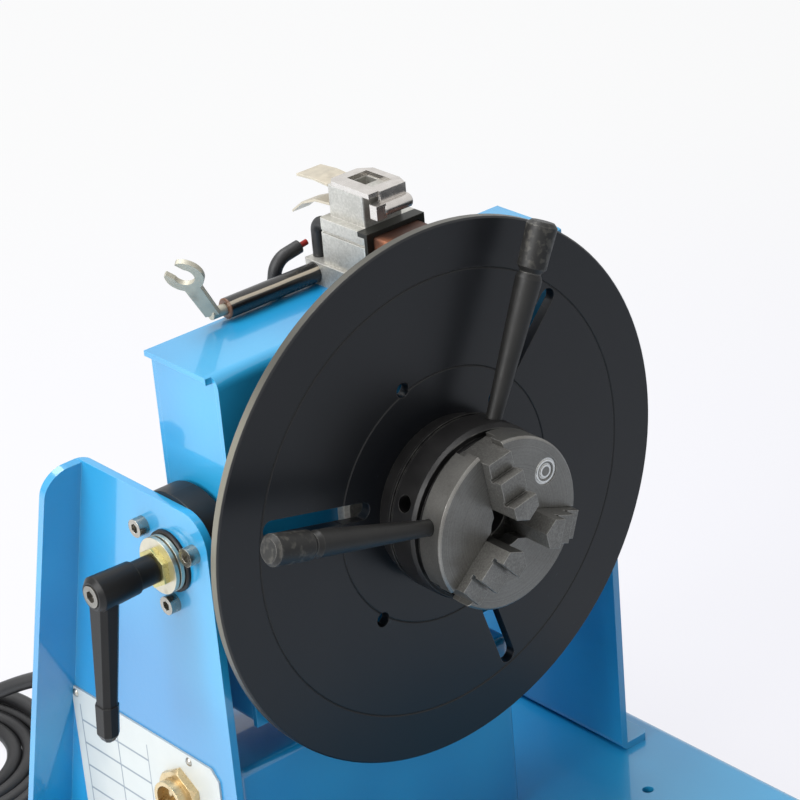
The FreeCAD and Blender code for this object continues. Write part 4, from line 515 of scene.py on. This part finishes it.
finishes = {
    "blue_paint": blue_enamel("blue_enamel"),
    "black_oxide": black_oxide("blackened_steel"),
    "ground_steel": ground_steel("ground_chuck_steel"),
    "turned_steel": turned_steel("turned_trunnion_steel", TILT_AXIS, 0),
    "bearing_steel": turned_steel("bearing_race_steel", TILT_AXIS, 1),
    "zinc": plated("bright_zinc", (0.26, 0.25, 0.22), (0.44, 0.42, 0.37), roughness=0.18),
    "zinc_yellow": plated("cream_passivated_zinc", (0.58, 0.50, 0.30), (0.74, 0.68, 0.48)),
    "brass": plated("yellow_brass", (0.42, 0.38, 0.15), (0.58, 0.53, 0.25), roughness=0.20),
    "nickel": plated("nickel_spring", (0.46, 0.42, 0.34), (0.66, 0.60, 0.49), roughness=0.34),
    "cast_alloy": sand_cast("sand_cast_alloy"),
    "black_plastic": moulded("moulded_handle_black"),
    "gloss_black": moulded("gloss_switch_black", roughness=0.16, grit=300.0),
    "rubber": rubber("foot_rubber"),
    "cord_sheath": ribbed_cord("mains_sheath"),
    "graphite": carbon_brush("copper_graphite"),
    "red_core": moulded("red_core_insulation", (0.20, 0.012, 0.010), (0.32, 0.022, 0.016),
                        0.40, 600.0, (0.42, 0.05, 0.04)),
    "white_enamel": data_plate("data_plate_enamel"),
    "board": circuit("circuit_board"),
    "motor_can": moulded("painted_motor_can", (0.010, 0.010, 0.009), (0.026, 0.026, 0.022),
                         0.34, 500.0, (0.09, 0.09, 0.08)),
}
own_finish = {
    "faceplate": black_faceplate("blackened_faceplate"),
    "body_bar": handled_bar("worn_body_bar", (-0.08, -0.03, SPINDLE_Z)),
    "ring_bar": handled_bar("worn_ring_bar", (0.03, -0.03, SPINDLE_Z + 0.08)),
    "jaw_1": ground_steel("jaw_steel", 0.0, 1.05),
    "earth_cable": gloss_cable("earth_cable_jacket"),
    "pedal_socket": plated("gilt_nickel_socket", (0.50, 0.38, 0.20), (0.72, 0.58, 0.36), 0.2),
    "clip_frame": plated("rosy_clip_nickel", (0.50, 0.47, 0.44), (0.68, 0.65, 0.62), 0.18),
    "mains_plug": rubber("plug_rubber", roughness=0.42),
    "clamp_washers": plated("cream_clamp_washer", (0.46, 0.43, 0.34), (0.64, 0.60, 0.49), 0.24),
    "lever_screw": plated("dull_end_screw", (0.14, 0.13, 0.12), (0.30, 0.29, 0.26), 0.26),
    "fork_lug": plated("tinned_lug", (0.33, 0.31, 0.25), (0.47, 0.45, 0.37), 0.42, 0.45),
}
own_finish["jaw_2"] = own_finish["jaw_3"] = own_finish["jaw_1"]

slot_of = {row["node"]: row["material_slot"] for row in frame["record"]["subparts"]}
for name, piece in nodes.items():
    piece.data.materials.clear()
    piece.data.materials.append(own_finish.get(name, finishes.get(slot_of[name])))
cord.data.materials.append(finishes["cord_sheath"])


# ---- floor, backdrop and light ---------------------------------------------------------
LAMP_AIM = (0, 0, 0.15)


def pale_floor():
    """Card floor: it takes light and shadow, and shows as near-white paper."""
    bm = bmesh.new()
    bmesh.ops.create_grid(bm, x_segments=1, y_segments=1, size=8.0)
    mesh = bpy.data.meshes.new("floor")
    bm.to_mesh(mesh)
    bm.free()
    floor = add_object("floor", mesh)
    f = Finish("floor_card")
    spot = f.place()
    away = f.rise(f.length_across((0.0, 0.0, 0.0), (1.0, 1.0, 0.0)), 0.25, 0.90)
    grain = f.noise(spot, 30.0, 3.0)
    # painted shade: the card is darker toward the front right, and the piece's reflections show
    # that darker card
    clear_of_painted_shade = f.rise(f.axis(spot, 1) - f.axis(spot, 0), -0.45, 0.20)
    card = f.blend(clear_of_painted_shade, (0.52, 0.54, 0.58), (0.86, 0.87, 0.89))
    f.feed(f.shader.inputs["Base Color"], card)
    f.feed(f.shader.inputs["Roughness"], 0.65 + 0.1 * grain)
    seen = f.node("LightPath", {}, {}, 0)
    paper = f.blend(away, (0.935, 0.928, 0.975), (0.960, 0.960, 0.962))
    glow = f.node("Emission", {}, {"Color": paper, "Strength": 1.0})
    out = f.tree.nodes["Material Output"]
    lit = Wire(f, f.shader.outputs[0])
    mixed = f.node("MixShader", {}, {0: seen * (0.87 + 0.08 * away), 1: lit, 2: glow})
    f.tree.links.new(mixed.socket, out.inputs["Surface"])
    mesh.materials.append(f.material)


def studio_world():
    """Soft room light, with plain white seen behind the piece and mirrored in it."""
    world = bpy.data.worlds.new("studio")
    bpy.context.scene.world = world
    world.use_nodes = True
    tree = world.node_tree
    ground = tree.nodes["Background"]
    ground.inputs["Color"].default_value = (0.90, 0.95, 1.0, 1)
    ground.inputs["Strength"].default_value = 0.50
    white = tree.nodes.new("ShaderNodeBackground")
    white.inputs["Color"].default_value = (0.956, 0.956, 0.956, 1)
    bright = tree.nodes.new("ShaderNodeBackground")
    bright.inputs["Color"].default_value = (1, 1, 1, 1)
    path = tree.nodes.new("ShaderNodeLightPath")
    mirrored = tree.nodes.new("ShaderNodeMixShader")
    tree.links.new(path.outputs["Is Glossy Ray"], mirrored.inputs[0])
    tree.links.new(ground.outputs[0], mirrored.inputs[1])
    tree.links.new(bright.outputs[0], mirrored.inputs[2])
    mix = tree.nodes.new("ShaderNodeMixShader")
    tree.links.new(path.outputs["Is Camera Ray"], mix.inputs[0])
    tree.links.new(mirrored.outputs[0], mix.inputs[1])
    tree.links.new(white.outputs[0], mix.inputs[2])
    tree.links.new(mix.outputs[0], tree.nodes["World Output"].inputs["Surface"])


def softbox(name, place, width, height, power):
    data = bpy.data.lights.new(name, "AREA")
    data.shape = "RECTANGLE"
    data.size = width
    data.size_y = height
    data.energy = power
    lamp = add_object(name, data)
    turn = (Vector(LAMP_AIM) - Vector(place)).to_track_quat("-Z", "Y").to_matrix().to_4x4()
    lamp.matrix_world = Matrix.Translation(Vector(place)) @ turn


pale_floor()
studio_world()
softbox("left_softbox", (-1.75, 0.05, 1.0), 1.2, 1.3, 35)
softbox("top_softbox", (-0.2, 0.45, 1.7), 1.2, 1.0, 24)

bpy.context.scene.view_settings.view_transform = "Standard"
